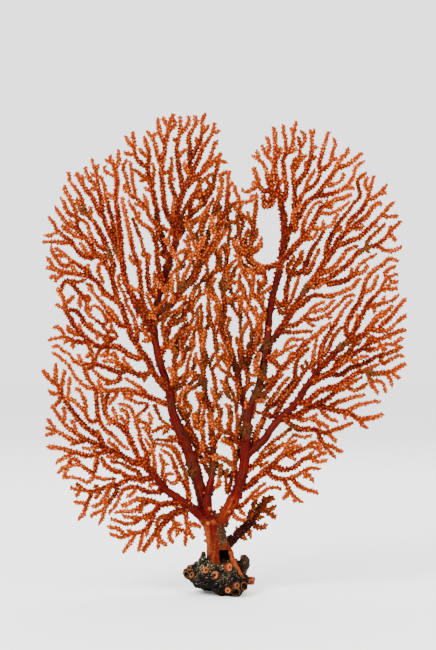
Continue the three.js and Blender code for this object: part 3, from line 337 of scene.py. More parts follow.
    "inner_middle_spray": {"parent": "left_stem", "depth": 3, "width": (3.4, 2.5), "routes": """
    172,408 174,393 176,383 175,373 173,363 175,355 179,347 181,338 183,330
    175,390 183,384 187,374 188,362 192,350
    179,347 186,340 190,331 191,322
    176,366 168,372"""},
    "inner_low_spray": {"parent": "left_stem", "depth": 6, "width": (3.4, 2.5), "routes": """
    195,468 197,455 198,448 196,441 193,436 190,431 188,424 186,418 184,410 183,402 187,391
    186,419 191,413 191,405
    181,431 170,428 160,420
    190,455 178,441 170,441 162,440 155,440
    168,427 163,427 157,430 151,434"""},
    "right_crown_top_spray": {"parent": "right_upper_stem", "depth": -3, "width": (3.4, 2.5),
                              "routes": """
    281,206 279,197 278,188 277,180 275,172 275,164 276,156 276,148 275,140 275,132 273,127
    275,165 269,159 265,154 262,145
    281,203 285,197 287,190 285,182 284,174 283,166 284,158 286,151 286,143 284,136 282,130 283,125
    285,156 292,149 293,142 293,135 296,122
    293,133 291,128
    279,198 273,191 269,187 268,180 267,172 264,167 261,162 258,158 252,156
    270,188 264,195 262,188 259,184 254,188 248,191 244,195 242,188
    259,185 259,181"""},
    "right_crown_middle_spray": {"parent": "right_upper_stem", "depth": 2, "width": (3.4, 2.5),
                                 "routes": """
    283,248 288,235 291,226 294,216 295,206 295,196 295,188 294,180 294,172 292,166 297,157
    294,172 297,166 300,160 301,147
    300,161 304,158 307,154
    295,188 300,180 304,175 307,169 309,163 311,157 312,150 312,143 312,136 315,130
    312,138 310,129
    312,147 317,147"""},
    "right_crown_outer_spray": {"parent": "right_crown_middle_spray", "depth": -3, "width": (3.2, 2.5),
                                "routes": """
    291,228 297,219 302,212 305,205 309,200 314,198 319,193 322,188 326,183 330,178 334,172 337,167 \
        339,161 343,156
    337,168 345,167 351,163 356,158 362,154
    326,185 332,186 341,181
    318,196 325,196 331,194 338,192 344,188 349,184 353,177 354,170
    303,212 298,200 303,194 307,188 307,181 311,175 314,170
    306,191 315,185 319,179 320,172 318,165 321,158 322,150 325,142 328,132
    320,171 326,168 331,162 332,155 333,149 336,144
    332,160 337,159"""},
    "right_crown_inner_spray": {"parent": "right_upper_stem", "depth": 5, "width": (3.2, 2.5),
                                "routes": """
    281,262 268,268 258,266 250,262 250,252 252,242 252,232 254,224 255,215 256,206 257,198 257,193
    254,225 250,221 247,216 247,211
    250,262 249,264 248,258 245,251 242,244 239,236 238,228 238,219 236,214
    238,222 231,221 225,224
    245,251 241,258 237,252 233,243"""},
    "right_upper_limb": {"parent": "right_upper_stem", "depth": -5, "width": (3.8, 2.6), "routes": """
    279,270 281,262 287,256 293,249 298,243 305,237 310,230 313,222 317,215 320,208 326,207 331,203 \
        337,199 344,198 351,195
    318,213 326,216 333,213 344,207
    327,206 327,200
    311,229 319,230 326,228 332,225
    322,229 323,221
    303,239 312,240 318,231
    302,241 303,222 307,215 315,204"""},
    "right_upper_twigs": {"parent": "right_upper_stem", "depth": 4, "width": (3.2, 2.5), "routes": """
    274,300 281,307 286,302 286,293 288,283 290,275 295,267 300,259 303,250
    286,305 291,303 293,293 297,284 299,276
    291,275 302,272 306,266 308,258 311,250 315,245 320,240 323,233 326,228
    303,272 308,275 312,266 315,258 320,248
    296,266 301,262 302,252"""},
    "right_mid_limb": {"parent": "right_upper_stem", "depth": 1, "width": (4.0, 2.8), "routes": """
    267,352 268,345 274,338 278,333 283,325 288,317 293,310 298,303 302,296 306,288 311,282 317,275 \
        322,267 326,259 331,254 335,248 337,243 341,236 346,231 351,229 356,226 359,220 366,218 370,212 \
        373,206 377,202 381,203
    347,231 349,221 354,216 360,212 364,206 367,200 369,193 371,187 374,176
    367,200 374,199 379,193 387,185
    380,193 381,195 386,192
    326,260 327,245 330,238 334,231 337,226 341,220 346,214 351,209 355,200
    336,246 344,244 350,241 357,239 363,235 367,230 372,225 377,220 382,216 385,210 393,202
    382,216 388,218 398,216
    373,225 378,227"""},
    "right_mid_spray_outer": {"parent": "right_mid_limb", "depth": 5, "width": (3.4, 2.5), "routes": """
    317,275 321,273 327,272 333,268 338,263 343,257 347,251
    311,283 319,283 326,280 333,276 340,270 346,266 351,261 355,257 359,252 365,248 371,246 378,245 \
        384,239 388,235 391,230 401,221
    366,248 367,240 372,236 378,232 386,223
    378,246 383,250 390,252 402,247
    388,236 394,236 396,242
    366,249 369,253
    325,281 330,284 337,283 343,280 350,277 356,275 357,270 360,264 364,261 369,258
    357,273 363,273"""},
    "right_mid_spray_lower": {"parent": "right_mid_limb", "depth": -3, "width": (3.2, 2.5), "routes": """
    294,310 300,306 305,301 310,297 317,295 324,297 331,297 338,293 345,290 352,288
    283,326 294,326 300,322 304,317 309,312 312,306 317,304 325,302
    309,312 316,312 321,308
    303,319 312,320 319,319 326,315 332,311 336,305 340,303
    326,316 331,318
    305,319 308,321 311,325 316,326
    279,332 288,331 294,333 301,331 307,331 313,331"""},
    "right_limb": {"parent": "right_stem", "depth": -4, "width": (5.0, 3.2), "routes": """
    246,456 258,446 264,440 268,432 273,425 280,419 285,414 292,407 298,401 302,394 305,388 310,382 \
        314,377 317,370 322,365 328,360 333,355 337,350 343,345 350,341 354,337 359,338 367,332 371,325 \
        374,320 378,315 386,311
    371,330 378,331 384,331 389,331 391,326 395,323
    379,331 379,325 383,322 388,319 392,315 395,309 400,304 404,298
    319,368 319,362 320,352 322,345 326,337 331,330 334,323 338,317 342,312 345,306 352,300
    320,358 325,354 329,347 332,340 335,333 340,328 343,327
    314,376 312,358 314,350 315,343 317,336"""},
    "right_limb_spray_top": {"parent": "right_limb", "depth": 2, "width": (3.2, 2.5), "routes": """
    350,341 347,337 345,331 346,324 349,318 352,312 357,306 360,301 361,295 364,290 365,284 367,277 \
        371,272 380,267
    347,337 352,335 355,328 358,321 361,316 365,310 368,304 371,299 376,295 381,290 382,284 386,279 \
        391,276 397,274
    382,291 387,289 391,280
    367,307 375,306 381,303 391,301
    373,306 374,313
    383,303 384,296"""},
    "right_limb_spray_outer": {"parent": "right_limb", "depth": -1, "width": (3.4, 2.5), "routes": """
    312,380 318,378 325,376 331,372 336,367 342,363 348,358 353,353 358,351 363,348 367,343 373,341 \
        379,339 385,336 391,335 397,332 405,329
    388,336 390,340
    335,368 335,362 338,358 344,356 349,352 352,347 355,342 359,338
    362,349 371,350 377,348 382,345 387,343 393,345 399,346
    348,359 353,362 358,359 363,355"""},
    "right_limb_spray_middle": {"parent": "right_limb", "depth": 5, "width": (3.2, 2.5), "routes": """
    309,383 320,378 330,373 335,375 341,376 346,371 352,366 358,366 363,364 369,362 374,358 380,355 \
        386,354 391,352 396,350 403,347
    380,356 383,366 386,361 391,359 400,355"""},
    "right_limb_spray_lower": {"parent": "right_limb", "depth": -6, "width": (3.6, 2.6), "routes": """
    303,404 306,402 312,398 317,392 323,388 330,387 334,388 338,385 344,381 350,377 356,373 361,370 \
        367,371 371,374 377,373 383,373 389,371 394,369 404,363
    390,371 398,378
    384,373 389,378
    361,371 366,368 372,366 378,364
    367,371 369,381 372,386 376,393
    369,381 375,381 379,380 383,385"""},
    "right_limb_spray_broad": {"parent": "right_limb", "depth": 1, "width": (3.6, 2.6), "routes": """
    285,414 292,418 298,415 304,411 313,406 320,406 327,408 334,410 341,412 348,412 354,416 359,419 \
        366,419 372,418 382,414
    359,419 361,424 363,428 368,428
    313,406 321,402 327,399 333,395 336,391 342,389 348,387 352,382 363,377
    348,388 355,391 360,388 367,383
    329,408 334,403 341,401 348,400 354,397 365,395
    346,412 350,409 356,406 362,404 373,401
    344,412 345,420
    319,406 322,413 327,417 332,420 338,421
    297,416 299,421 306,420 312,417 318,414
    310,418 319,422 329,428"""},
    "right_limb_spray_under": {"parent": "right_limb", "depth": 5, "width": (3.2, 2.5), "routes": """
    282,417 289,423 294,427 300,429 306,429 311,427 315,431 321,432 327,434 332,431 338,430 344,427 \
        353,423
    328,434 337,442
    318,432 320,438 323,443 326,448 329,452 336,458"""},
    "inner_right_spray": {"parent": "right_limb", "depth": 3, "width": (3.4, 2.5), "routes": """
    254,450 254,440 259,427 263,421 266,415 267,407 274,406 279,401 282,395 287,389 292,384 296,380 \
        295,372 295,366 297,361 304,352
    267,408 269,403 272,400 276,394 280,389 283,383 290,377
    266,414 256,413
    276,418 275,415 279,408 282,402 287,396 292,390 297,384 301,378 304,372 308,368 313,364 319,361"""},
    "inner_right_upper_spray": {"parent": "right_upper_stem", "depth": -7, "width": (3.4, 2.5),
                                "routes": """
    256,397 265,393 270,388 275,380 279,371 283,366 290,360 296,354 301,348 306,342 312,337 318,333 \
        324,327 331,323
    288,361 289,354 293,351
    262,376 256,375
    266,356 275,358 283,351 289,347 297,345
    284,350 288,339 294,339 300,340"""},
    "inner_right_left_spray": {"parent": "right_inner_stem", "depth": -3, "width": (3.2, 2.5),
                               "routes": """
    240,395 245,389 249,387 248,380 248,372 247,364 250,358 253,352 256,345 258,336 258,328 257,320 \
        255,313
    248,360 250,345 252,338 252,330 250,322
    259,345 262,330 259,320 262,312
    259,322 267,315 262,306 258,300 258,290 258,280"""},
    "right_low_limb": {"parent": "right_stem", "depth": -5, "width": (4.0, 2.6), "routes": """
    239,489 247,486 252,483 257,477 262,472 268,470 272,465 277,460 281,455 286,451 291,447 301,445
    283,453 287,444 291,437
    287,444 297,440
    284,454 290,454 296,451 302,449 307,446 313,446 318,449 322,453
    272,466 276,467 282,470 289,469 295,466 299,463 303,458 308,457 312,459 317,456 322,452 327,453
    268,470 270,476 277,478 284,479 291,478 296,476 301,472 305,469 311,466 320,468
    304,471 309,475 313,482
    291,478 297,484 302,487 308,489 318,493
    284,479 286,485 289,490 293,495 298,499 302,502
    295,497 294,502
    290,491 285,495 283,499"""},
    "right_low_spray_upper": {"parent": "right_stem", "depth": 1, "width": (3.4, 2.5), "routes": """
    243,473 251,467 257,463 261,457 267,454 273,451 279,447 285,443
    260,458 260,469 268,461
    259,459 264,449 270,447 276,444
    266,449 272,442 278,439 283,435 292,428"""},
    "dark_base_spray": {"parent": "trunk", "depth": 4, "width": (3.6, 2.5), "routes": """
    216,552 227,545 232,541 238,535 244,530 250,525 254,518 258,513 261,509 263,504 266,499 270,497 \
        273,500
    261,511 267,511 276,508
    266,511 276,519
    252,523 259,530 263,530 267,526
    254,520 260,520 263,517
    247,527 249,531 251,538
    239,535 246,540
    237,536 237,529
    245,529 247,522 250,517 252,512 254,505 255,499"""},
}

growth = {
    "twigWidth": 2.7, "tipWidth": 2.0, "widthPerLength": 0.013,  # mm, rind and polyps included
    "step": 2.4, "solidFrom": 21,  # mm between samples, mm: shorter twigs aren't in the solids
    "crossingGap": 0.6, "forkReach": 3.2, "cell": 12.0,  # mm, share of the gap, mm
    "rounds": 260, "push": 0.35, "even": 0.35, "goal": 0.004,  # shares taken in each round
    "rowAside": 1.4, "depthRun": 45.0, "fanCurve": 7.0, "fanHalfWidth": 112.0,  # mm
}


def fromPixel(px, py):
    return (px - photo["middleX"]) * mmPerPixel, (photo["groundY"] - py) * mmPerPixel


def pixelRoute(text):
    return [tuple(map(float, pair.split(","))) for pair in text.split()]


def smoothStep(value, low, high):
    t = min(max((value - low) / (high - low), 0.0), 1.0)
    return t * t * (3 - 2 * t)


def stepRoute(corners):
    # evenly spaced samples [x, z, run] along straight stretches between the corners
    samples = [[corners[0][0], corners[0][1], 0.0]]
    run = 0.0
    for (ax, az), (bx, bz) in zip(corners, corners[1:]):
        length = math.hypot(bx - ax, bz - az)
        steps = max(1, math.floor(length / growth["step"] + 0.5))
        for i in range(1, steps + 1):
            t = i / steps
            samples.append([ax + (bx - ax) * t, az + (bz - az) * t, run + length * t])
        run += length
    return samples


def nearestSample(branches, spot):
    best = (math.inf, None, 0)
    for branch in branches:
        for index, sample in enumerate(branch["samples"]):
            distance = math.hypot(sample["x"] - spot[0], sample["z"] - spot[1])
            if distance < best[0]:
                best = (distance, branch, index)
    return best


def growBranches():
    # every branch, with the branch and the sample that it grows from
    branches = []
    for name, limb in limbs.items():
        own = []
        for row, line in enumerate(limb["routes"].strip().split("\n")):
            corners = [fromPixel(*pixel) for pixel in pixelRoute(line)]
            hosts = [b for b in branches if b["limb"] == limb["parent"]] if row == 0 else own
            distance, host, at = nearestSample(hosts, corners[0])
            if host and distance > growth["tipWidth"] / 2:
                corners.insert(0, (host["samples"][at]["x"], host["samples"][at]["z"]))
            steps = stepRoute(corners)
            length = steps[-1][2]
            rootWidth = host["samples"][at]["width"] if host else math.inf
            footWidth = growth["twigWidth"] + growth["widthPerLength"] * length
            endWidth = growth["tipWidth"]
            if row == 0:
                footWidth, endWidth = limb["width"]
            samples = []
            for x, z, run in steps:
                width = min(footWidth + (endWidth - footWidth) * run / length, rootWidth)
                samples.append({"x": x, "z": z, "run": run, "width": width})
            own.append({"limb": name, "row": row, "samples": samples, "host": host, "at": at,
                        "length": length})
        branches += own
    return branches


def routeBetween(one, two):
    # the way along the branches between two samples, or infinity where no fork joins them
    def climb(branch, index):
        stops = {}
        way = 0.0
        while branch:
            run = branch["samples"][index]["run"]
            stops[id(branch)] = (way, run)
            way += run
            index = branch["at"]
            branch = branch["host"]
        return stops
    first = climb(*one)
    second = climb(*two)
    shared = [(first[k], second[k]) for k in first if k in second]
    return min((a[0] + b[0] + abs(a[1] - b[1]) for a, b in shared), default=math.inf)


def findCrossings(branches):
    # pairs of samples that lie over each other seen from the front, with the depth they need between them
    cell = growth["cell"]
    grid = {}
    spots = []
    for branch in branches:
        for index, sample in enumerate(branch["samples"]):
            spots.append((branch, index, sample))
    for order, (branch, index, sample) in enumerate(spots):
        key = (math.floor(sample["x"] / cell), math.floor(sample["z"] / cell))
        grid.setdefault(key, []).append(order)
    crossings = []
    for order, (branch, index, sample) in enumerate(spots):
        column = math.floor(sample["x"] / cell)
        level = math.floor(sample["z"] / cell)
        near = [k for i in (-1, 0, 1) for j in (-1, 0, 1) for k in grid.get((column + i, level + j), [])]
        for k in near:
            otherBranch, otherIndex, other = spots[k]
            if k <= order or otherBranch is branch:
                continue
            apart = (sample["width"] + other["width"]) / 2 + growth["crossingGap"]
            seen = math.hypot(sample["x"] - other["x"], sample["z"] - other["z"])
            allowed = math.hypot(apart, growth["step"] / 2)
            if seen < allowed:
                way = routeBetween((branch, index), (otherBranch, otherIndex))
                if way > growth["forkReach"] * apart:
                    crossings.append((sample, other, math.sqrt(allowed ** 2 - seen ** 2)))
    return crossings


def settleDepths(branches):
    # a depth for every sample: near its limb's own, smooth, and clear of what it crosses
    for branch in branches:
        host = branch["host"]
        foot = host["samples"][branch["at"]]["y"] if host else 0.0
        aside = 0.0 if branch["row"] == 0 else growth["rowAside"] * (1 if branch["row"] % 2 == 0 else -1)
        for sample in branch["samples"]:
            curve = -growth["fanCurve"] * (sample["x"] / growth["fanHalfWidth"]) ** 2
            sample["goal"] = limbs[branch["limb"]]["depth"] + curve + aside
            sample["y"] = foot + (sample["goal"] - foot) * smoothStep(sample["run"], 0, growth["depthRun"])
    crossings = findCrossings(branches)
    for _ in range(growth["rounds"]):
        for one, two, need in crossings:
            gap = two["y"] - one["y"]
            lack = need - abs(gap)
            if lack > 0:
                push = (-growth["push"] if gap < 0 else growth["push"]) * lack
                one["y"] -= push
                two["y"] += push
        for branch in branches:
            samples = branch["samples"]
            if branch["host"]:
                samples[0]["y"] = branch["host"]["samples"][branch["at"]]["y"]
            for i in range(1, len(samples)):
                after = samples[min(i + 1, len(samples) - 1)]["y"]
                middle = (samples[i - 1]["y"] + after) / 2
                lift = growth["even"] * (middle - samples[i]["y"])
                samples[i]["y"] += lift + growth["goal"] * (samples[i]["goal"] - samples[i]["y"])
    print("sea fan:", len(branches), "branches,", len(crossings), "crossing pairs settled")


def frameShift(branches):
    # the solids' origin is under the middle of the whole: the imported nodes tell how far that
    # moves the routes
    shifts = []
    for name in limbs:
        own = [b for b in branches if b["limb"] == name]
        low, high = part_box(name)
        solid = [b for b in own if b["length"] > growth["solidFrom"] or b["row"] == 0]
        spots = np.array([(s["x"], s["y"], s["z"]) for b in solid for s in b["samples"]])
        shifts.append((np.array(low) + np.array(high)) / 2 / mm - (spots.min(0) + spots.max(0)) / 2)
    return np.median(np.array(shifts), axis=0)


branches = growBranches()
settleDepths(branches)
shift = frameShift(branches)
print("sea fan: frame shift in mm", shift.round(3))


# The finer twigs between the traced ones: each leaves a branch and follows the flow of its neighbours
infill = {
    "seed": 7, "driftSeed": 8, "row": 99,
    "step": 1.6, "longest": (12, 40), "width": 2.7, "tipWidth": 2.35, "hostWidth": 7.5,  # mm
    "lean": (26, 58),  # degrees off the branch that it leaves
    "keepOn": 0.85, "follow": 0.40, "wander": 0.38, "wanderLength": 9.0,  # shares, mm
    "shun": 1.2, "shunReach": 5.0, "shunFall": 2.2, "shunMost": 0.55,  # share, mm, power, share
    "footShare": 0.8, "footGap": 0.8,  # its own foot isn't in a twig's way: share of its reach, mm
    "flowSoftness": 4.0,  # mm squared
    "straighten": (0.4, 0.7),  # below this much along the flow it is turned back by this share
    "giveUp": (5, 0.1),  # past so many mm it ends where it is below this much along the flow
    "depthStep": 0.7, "depthWave": 0.4, "depthWaveScale": 0.12,  # mm, mm, per mm
    "outline": "43,238 57,200 68,172 92,160 105,165 122,140 132,148 155,118 188,112 216,124 222,160 "
               "232,172 238,190 252,180 256,150 272,126 296,122 330,136 362,156 372,185 388,205 402,228 "
               "400,262 398,290 405,310 404,372 382,395 380,420 352,430 345,455 318,462 316,492 290,500 "
               "262,486 245,502 236,488 226,500 214,512 196,500 186,532 165,550 145,552 122,540 100,520 "
               "76,515 72,488 50,462 44,430 50,400 43,375 56,365 48,342 60,320 56,300 46,270",
    # region: middle and half size in pixels; clear: mm between lines; depth: mm behind the branch
    "layers": (
        {"region": None, "clear": 3.2, "shortest": 6.5, "depth": 0.0, "among": "all", "try": 1.0},
        {"region": None, "clear": 2.8, "shortest": 4.2, "depth": 0.0, "among": "all", "try": 0.8},
        {"region": ((213, 335), (64, 150)), "clear": 4.4, "shortest": 6.0, "depth": 4.5,
         "among": "own", "try": 0.6},
        {"region": ((216, 330), (54, 135)), "clear": 5.0, "shortest": 6.0, "depth": -4.0,
         "among": "own", "try": 0.6},
    ),
}


def insideOutline(outline, x, z):
    inside = False
    for (ax, az), (bx, bz) in zip(outline, outline[1:] + outline[:1]):
        if (az > z) != (bz > z) and x < ax + (z - az) * (bx - ax) / (bz - az):
            inside = not inside
    return inside


def insideRegion(region, x, z):
    if region is None:
        return True
    (px, py), (halfX, halfZ) = region
    middleX, middleZ = fromPixel(px, py)
    return math.hypot((x - middleX) / halfX, (z - middleZ) / halfZ) < mmPerPixel


def growTwig(branch, i, side, layer, crowd, flow, outline, dice):
    # one twig, step by step, until it is long enough or another one is in its way
    samples = branch["samples"]
    before, here = samples[i - 1], samples[i]
    origin = np.array((here["x"], here["z"]))
    way = np.array((here["x"] - before["x"], here["z"] - before["z"]))
    way /= max(np.linalg.norm(way), 1e-6)
    turn = math.radians(dice.uniform(*infill["lean"])) * side
    way = np.array((way[0] * math.cos(turn) - way[1] * math.sin(turn),
                    way[0] * math.sin(turn) + way[1] * math.cos(turn)))
    longest = dice.uniform(*infill["longest"])
    spots, depths = [origin], [here["y"]]
    reach = 0.0
    close = crowd[np.hypot(*(crowd - origin).T) < longest + 8] if len(crowd) else crowd
    fromFoot = np.hypot(*(close - origin).T) if len(close) else np.zeros(0)
    goal = branch["layerY"] + layer["depth"]
    while reach < longest:
        spot = spots[-1]
        if len(close):
            away = close - spot
            gap = np.hypot(*away.T)
            counted = fromFoot > reach * infill["footShare"] + infill["footGap"]
            pushers = counted & (gap < infill["shunReach"]) & (gap > 0.05)
            push = np.zeros(2)
            if pushers.any():
                push = -(away[pushers] / gap[pushers, None] ** infill["shunFall"]).sum(axis=0)
            size = np.linalg.norm(push)
            push = push / size * min(size * infill["shun"], infill["shunMost"]) if size > 0 else push
        else:
            push = np.zeros(2)
        weight = 1 / (np.hypot(*(flow[0] - spot).T) ** 2 + infill["flowSoftness"]) ** 2
        along = (flow[1] * weight[:, None]).sum(axis=0)
        along /= max(np.linalg.norm(along), 1e-6)
        drift = noise.noise_vector(Vector((spot[0], spot[1], 40 * layer["depth"])) / infill["wanderLength"])
        way = way * infill["keepOn"] + along * infill["follow"] + push
        way = way + np.array((drift[0], drift[2])) * infill["wander"] * 2
        way /= np.linalg.norm(way)
        if way @ along < infill["straighten"][0]:
            way = way + along * infill["straighten"][1]
            way /= np.linalg.norm(way)
        if reach > infill["giveUp"][0] and way @ along < infill["giveUp"][1]:
            break
        spot = spot + way * infill["step"]
        if not insideOutline(outline, *spot) or not insideRegion(layer["region"], *spot):
            break
        if len(close):
            gap = np.hypot(*(close - spot).T)
            counted = fromFoot > (reach + infill["step"]) * infill["footShare"] + infill["footGap"]
            if (gap[counted] < layer["clear"]).any():
                break
        reach += infill["step"]
        spots.append(spot)
        nearer = float(np.clip(goal - depths[-1], -infill["depthStep"], infill["depthStep"]))
        wave = noise.noise(Vector((*spot, 3.0)) * infill["depthWaveScale"])
        depths.append(depths[-1] + nearer + infill["depthWave"] * wave)
    return spots, depths, reach


def growLayer(branches, layer, dice):
    outline = [fromPixel(*pixel) for pixel in pixelRoute(infill["outline"])]
    everything = [(s["x"], s["z"]) for b in branches for s in b["samples"]]
    crowd = np.array(everything) if layer["among"] == "all" else np.zeros((0, 2))
    traced = [b for b in branches if b["row"] != infill["row"]]
    places = np.array([(s["x"], s["z"]) for b in traced for s in b["samples"][1:]])
    ways = np.array([(s["x"] - r["x"], s["z"] - r["z"])
                     for b in traced for r, s in zip(b["samples"], b["samples"][1:])])
    ways /= np.maximum(np.linalg.norm(ways, axis=1), 1e-6)[:, None]
    feet = [(b, i) for b in branches if b["limb"] != "trunk" for i, s in enumerate(b["samples"])
            if i > 0 and s["width"] < infill["hostWidth"] and insideRegion(layer["region"], s["x"], s["z"])]
    grown = []
    for k in dice.permutation(len(feet)):
        if dice.uniform() > layer["try"]:
            continue
        branch, i = feet[k]
        side = dice.choice((-1, 1))
        for turn in (side, -side):
            spots, depths, reach = growTwig(branch, i, turn, layer, crowd, (places, ways), outline, dice)
            if reach < layer["shortest"]:
                continue
            wide = min(infill["width"], branch["samples"][i]["width"] * 1.05)
            last = len(spots) - 1
            samples = [{"x": p[0], "y": y, "z": p[1], "run": infill["step"] * n,
                        "width": wide + (min(infill["tipWidth"], wide) - wide) * n / last}
                       for n, (p, y) in enumerate(zip(spots, depths))]
            grown.append({"limb": branch["limb"], "row": infill["row"], "samples": samples, "host": branch,
                          "at": i, "length": reach, "layerY": branch["layerY"]})
            crowd = np.vstack((crowd, spots[1:]))
            break
    return grown


def growInfill(branches):
    dice = np.random.default_rng(infill["seed"])
    noise.seed_set(infill["driftSeed"])
    for branch in branches:
        branch["layerY"] = float(np.mean([s["y"] for s in branch["samples"]]))
    traced = len(branches)
    for layer in infill["layers"]:
        branches = branches + growLayer(branches, layer, dice)
        length = sum(b["length"] for b in branches[traced:])
        print("sea fan:", len(branches) - traced, "finer twigs,", round(length), "mm")
    return branches


branches = growInfill(branches)


# Cores of the branches: round bars that follow the routes, with the polyps' height taken off
bars = {
    "ring": 0.95, "sides": 8, "stemSides": 20, "stemFrom": 4.5,  # mm between rings; mm wide
    "wobble": 0.28, "wobbleLength": 7.0, "wobbleRun": 4.0,  # mm
    "lumps": 0.10, "lumpScale": 0.45,  # share of the radius, per mm
    "polypHeight": 0.06, "bareFrom": 3.5, "bareBy": 4.6,  # mm: wider than this the rind is bare
    "tipLength": 1.0, "tipFade": 22.0,  # mm
    "bareCover": 0.92, "grainScale": 0.02,  # share of the polyps that bare rind loses, per mm
}
darkSpray = {"limb": "dark_base_spray", "polypSize": 1.35, "thicker": 1.2, "swell": 0.4, "swellRun": 14}
crustPatches = {
    "at": "268,345 265,372 305,290 205,385 225,395 342,345 370,372 185,285 291,430 240,325 365,248 "
          "224,288 84,211 112,252 226,467 258,393 216,470 190,470 246,430",
    "reach": 5.0,  # mm
}
fleshPatch = {"at": (230, 512), "reach": 7.5}  # where the stems' foot is salmon: pixels, mm
innerBrownAndShadePatch = {"at": (214, 335), "half": (42, 95)}  # the middle of the fan, browner and darker: browner twigs, with painted shade where they lie over each other: pixels, mm


def smoothed(values, rounds):
    for _ in range(rounds):
        inner = values[1:-1] + 0.25 * (values[:-2] - 2 * values[1:-1] + values[2:])
        values = np.vstack((values[:1], inner, values[-1:]))
    return values


def branchLine(branch):
    # the branch's middle line, rounded off at its bends and resampled, with its radius and run
    samples = branch["samples"]
    spots = np.array([(s["x"], s["y"], s["z"]) for s in samples])
    spots = smoothed(spots, 2) + shift
    runs = np.array([s["run"] for s in samples])
    widths = np.array([s["width"] for s in samples])
    count = max(3, int(runs[-1] / bars["ring"]) + 1)
    at = np.linspace(0, runs[-1], count)
    line = np.column_stack([np.interp(at, runs, spots[:, k]) for k in range(3)])
    width = np.interp(at, runs, widths)
    drift = np.array([noise.noise_vector(Vector(p) / bars["wobbleLength"]) for p in line])
    ease = np.minimum(at / bars["wobbleRun"], 1.0)[:, None]
    return line + drift * bars["wobble"] * 2 * ease, width, at


def addBar(parts, branch, sides):
    line, width, run = branchLine(branch)
    count = len(line)
    bare = np.clip((width - bars["bareFrom"]) / (bars["bareBy"] - bars["bareFrom"]), 0, 1)
    knobbly = branch["limb"] == darkSpray["limb"]
    if knobbly:
        bare = bare * 0
    radius = width / 2 - bars["polypHeight"] * (1 - bare) * 0.8
    lumps = np.array([noise.noise(Vector(p) * bars["lumpScale"] + Vector((31, 7, 2))) for p in line])
    radius = radius * (1 + bars["lumps"] * lumps * 2)
    left = run[-1] - run
    isTip = branch["row"] > 0 or branch["limb"] not in openEnded
    if isTip:
        radius = radius * np.clip(0.6 + 0.4 * left / bars["tipLength"], 0.6, 1.0)
    ahead = np.gradient(line, axis=0)
    ahead /= np.linalg.norm(ahead, axis=1)[:, None]
    across = np.cross(ahead, (0, 1, 0))
    across /= np.linalg.norm(across, axis=1)[:, None]
    up = np.cross(ahead, across)
    angles = np.arange(sides) * 2 * math.pi / sides
    ring = across[:, None, :] * np.cos(angles)[None, :, None] + up[:, None, :] * np.sin(angles)[None, :, None]
    spots = line[:, None, :] + ring * radius[:, None, None]
    first = parts["count"]
    ends = np.array((line[0] - ahead[0] * radius[0] * 0.5, line[-1] + ahead[-1] * radius[-1] * 0.7))
    parts["spots"].append(np.vstack((spots.reshape(-1, 3), ends)))
    parts["count"] += count * sides + 2
    low = (np.arange(count - 1)[:, None] * sides + np.arange(sides)[None, :])
    turn = (np.arange(count - 1)[:, None] * sides + (np.arange(sides)[None, :] + 1) % sides)
    quads = np.stack((low, turn, turn + sides, low + sides), axis=-1).reshape(-1, 4) + first
    parts["quads"].append(quads)
    foot = first + count * sides
    last = first + (count - 1) * sides
    k = np.arange(sides)
    nextK = (k + 1) % sides
    parts["tris"].append(np.column_stack((np.full(sides, foot), first + nextK, first + k)))
    parts["tris"].append(np.column_stack((np.full(sides, foot + 1), last + k, last + nextK)))

    def spread(values):
        return np.concatenate((np.repeat(values, sides), values[[0, -1]]))
    age = np.clip((width - 2.4) / 3.0, 0, 1)
    tone = np.clip(1.0 - left / bars["tipFade"], 0, 1) if isTip else np.zeros(count)
    parts["bare"].append(spread(bare))
    parts["age"].append(spread(age))
    parts["tone"].append(spread(tone))
    size = np.clip(0.85 + 0.1 * (width - 2.2), 0.8, 1.15) * (darkSpray["polypSize"] if knobbly else 1.0)
    parts["polypSize"].append(spread(size))
    parts["ahead"].append(np.vstack((np.repeat(ahead, sides, axis=0), ahead[[0, -1]])))
    grain = np.stack((np.broadcast_to(np.cos(angles), (count, sides)),
                      np.broadcast_to(np.sin(angles), (count, sides)),
                      np.broadcast_to((run * bars["grainScale"])[:, None], (count, sides))), axis=-1)
    grain = grain.reshape(-1, 3)
    parts["grain"].append(np.vstack((grain, grain[[0, -1]])))


def meshFrom(name, spots, quads, tris):
    faces = [tuple(q) for q in quads.tolist()] + [tuple(t) for t in tris.tolist()]
    mesh = bpy.data.meshes.new(name)
    mesh.from_pydata((spots * mm).tolist(), [], faces)
    mesh.shade_smooth()
    return mesh


def addAttribute(mesh, name, kind, values):
    attribute = mesh.attributes.new(name, kind, "POINT")
    field = "vector" if kind == "FLOAT_VECTOR" else "value"
    attribute.data.foreach_set(field, np.asarray(values, dtype=np.float32).ravel())


def awayFrom(spots, pixel, halfX=1, halfZ=1):
    # how far each point is from a pixel's place, seen from the front, in mm or in half widths
    x, z = fromPixel(*pixel)
    return np.hypot((spots[:, 0] - x - shift[0]) / halfX, (spots[:, 2] - z - shift[2]) / halfZ)


def crustAmount(spots):
    # how far each point is inside one of the brown crusted patches
    amount = np.zeros(len(spots))
    for pixel in pixelRoute(crustPatches["at"]):
        away = awayFrom(spots, pixel)
        amount = np.maximum(amount, np.clip(1.3 - away / crustPatches["reach"], 0, 1))
    return amount


openEnded = {"trunk", "left_stem", "right_stem", "left_upper_stem", "right_upper_stem", "left_low_limb"}


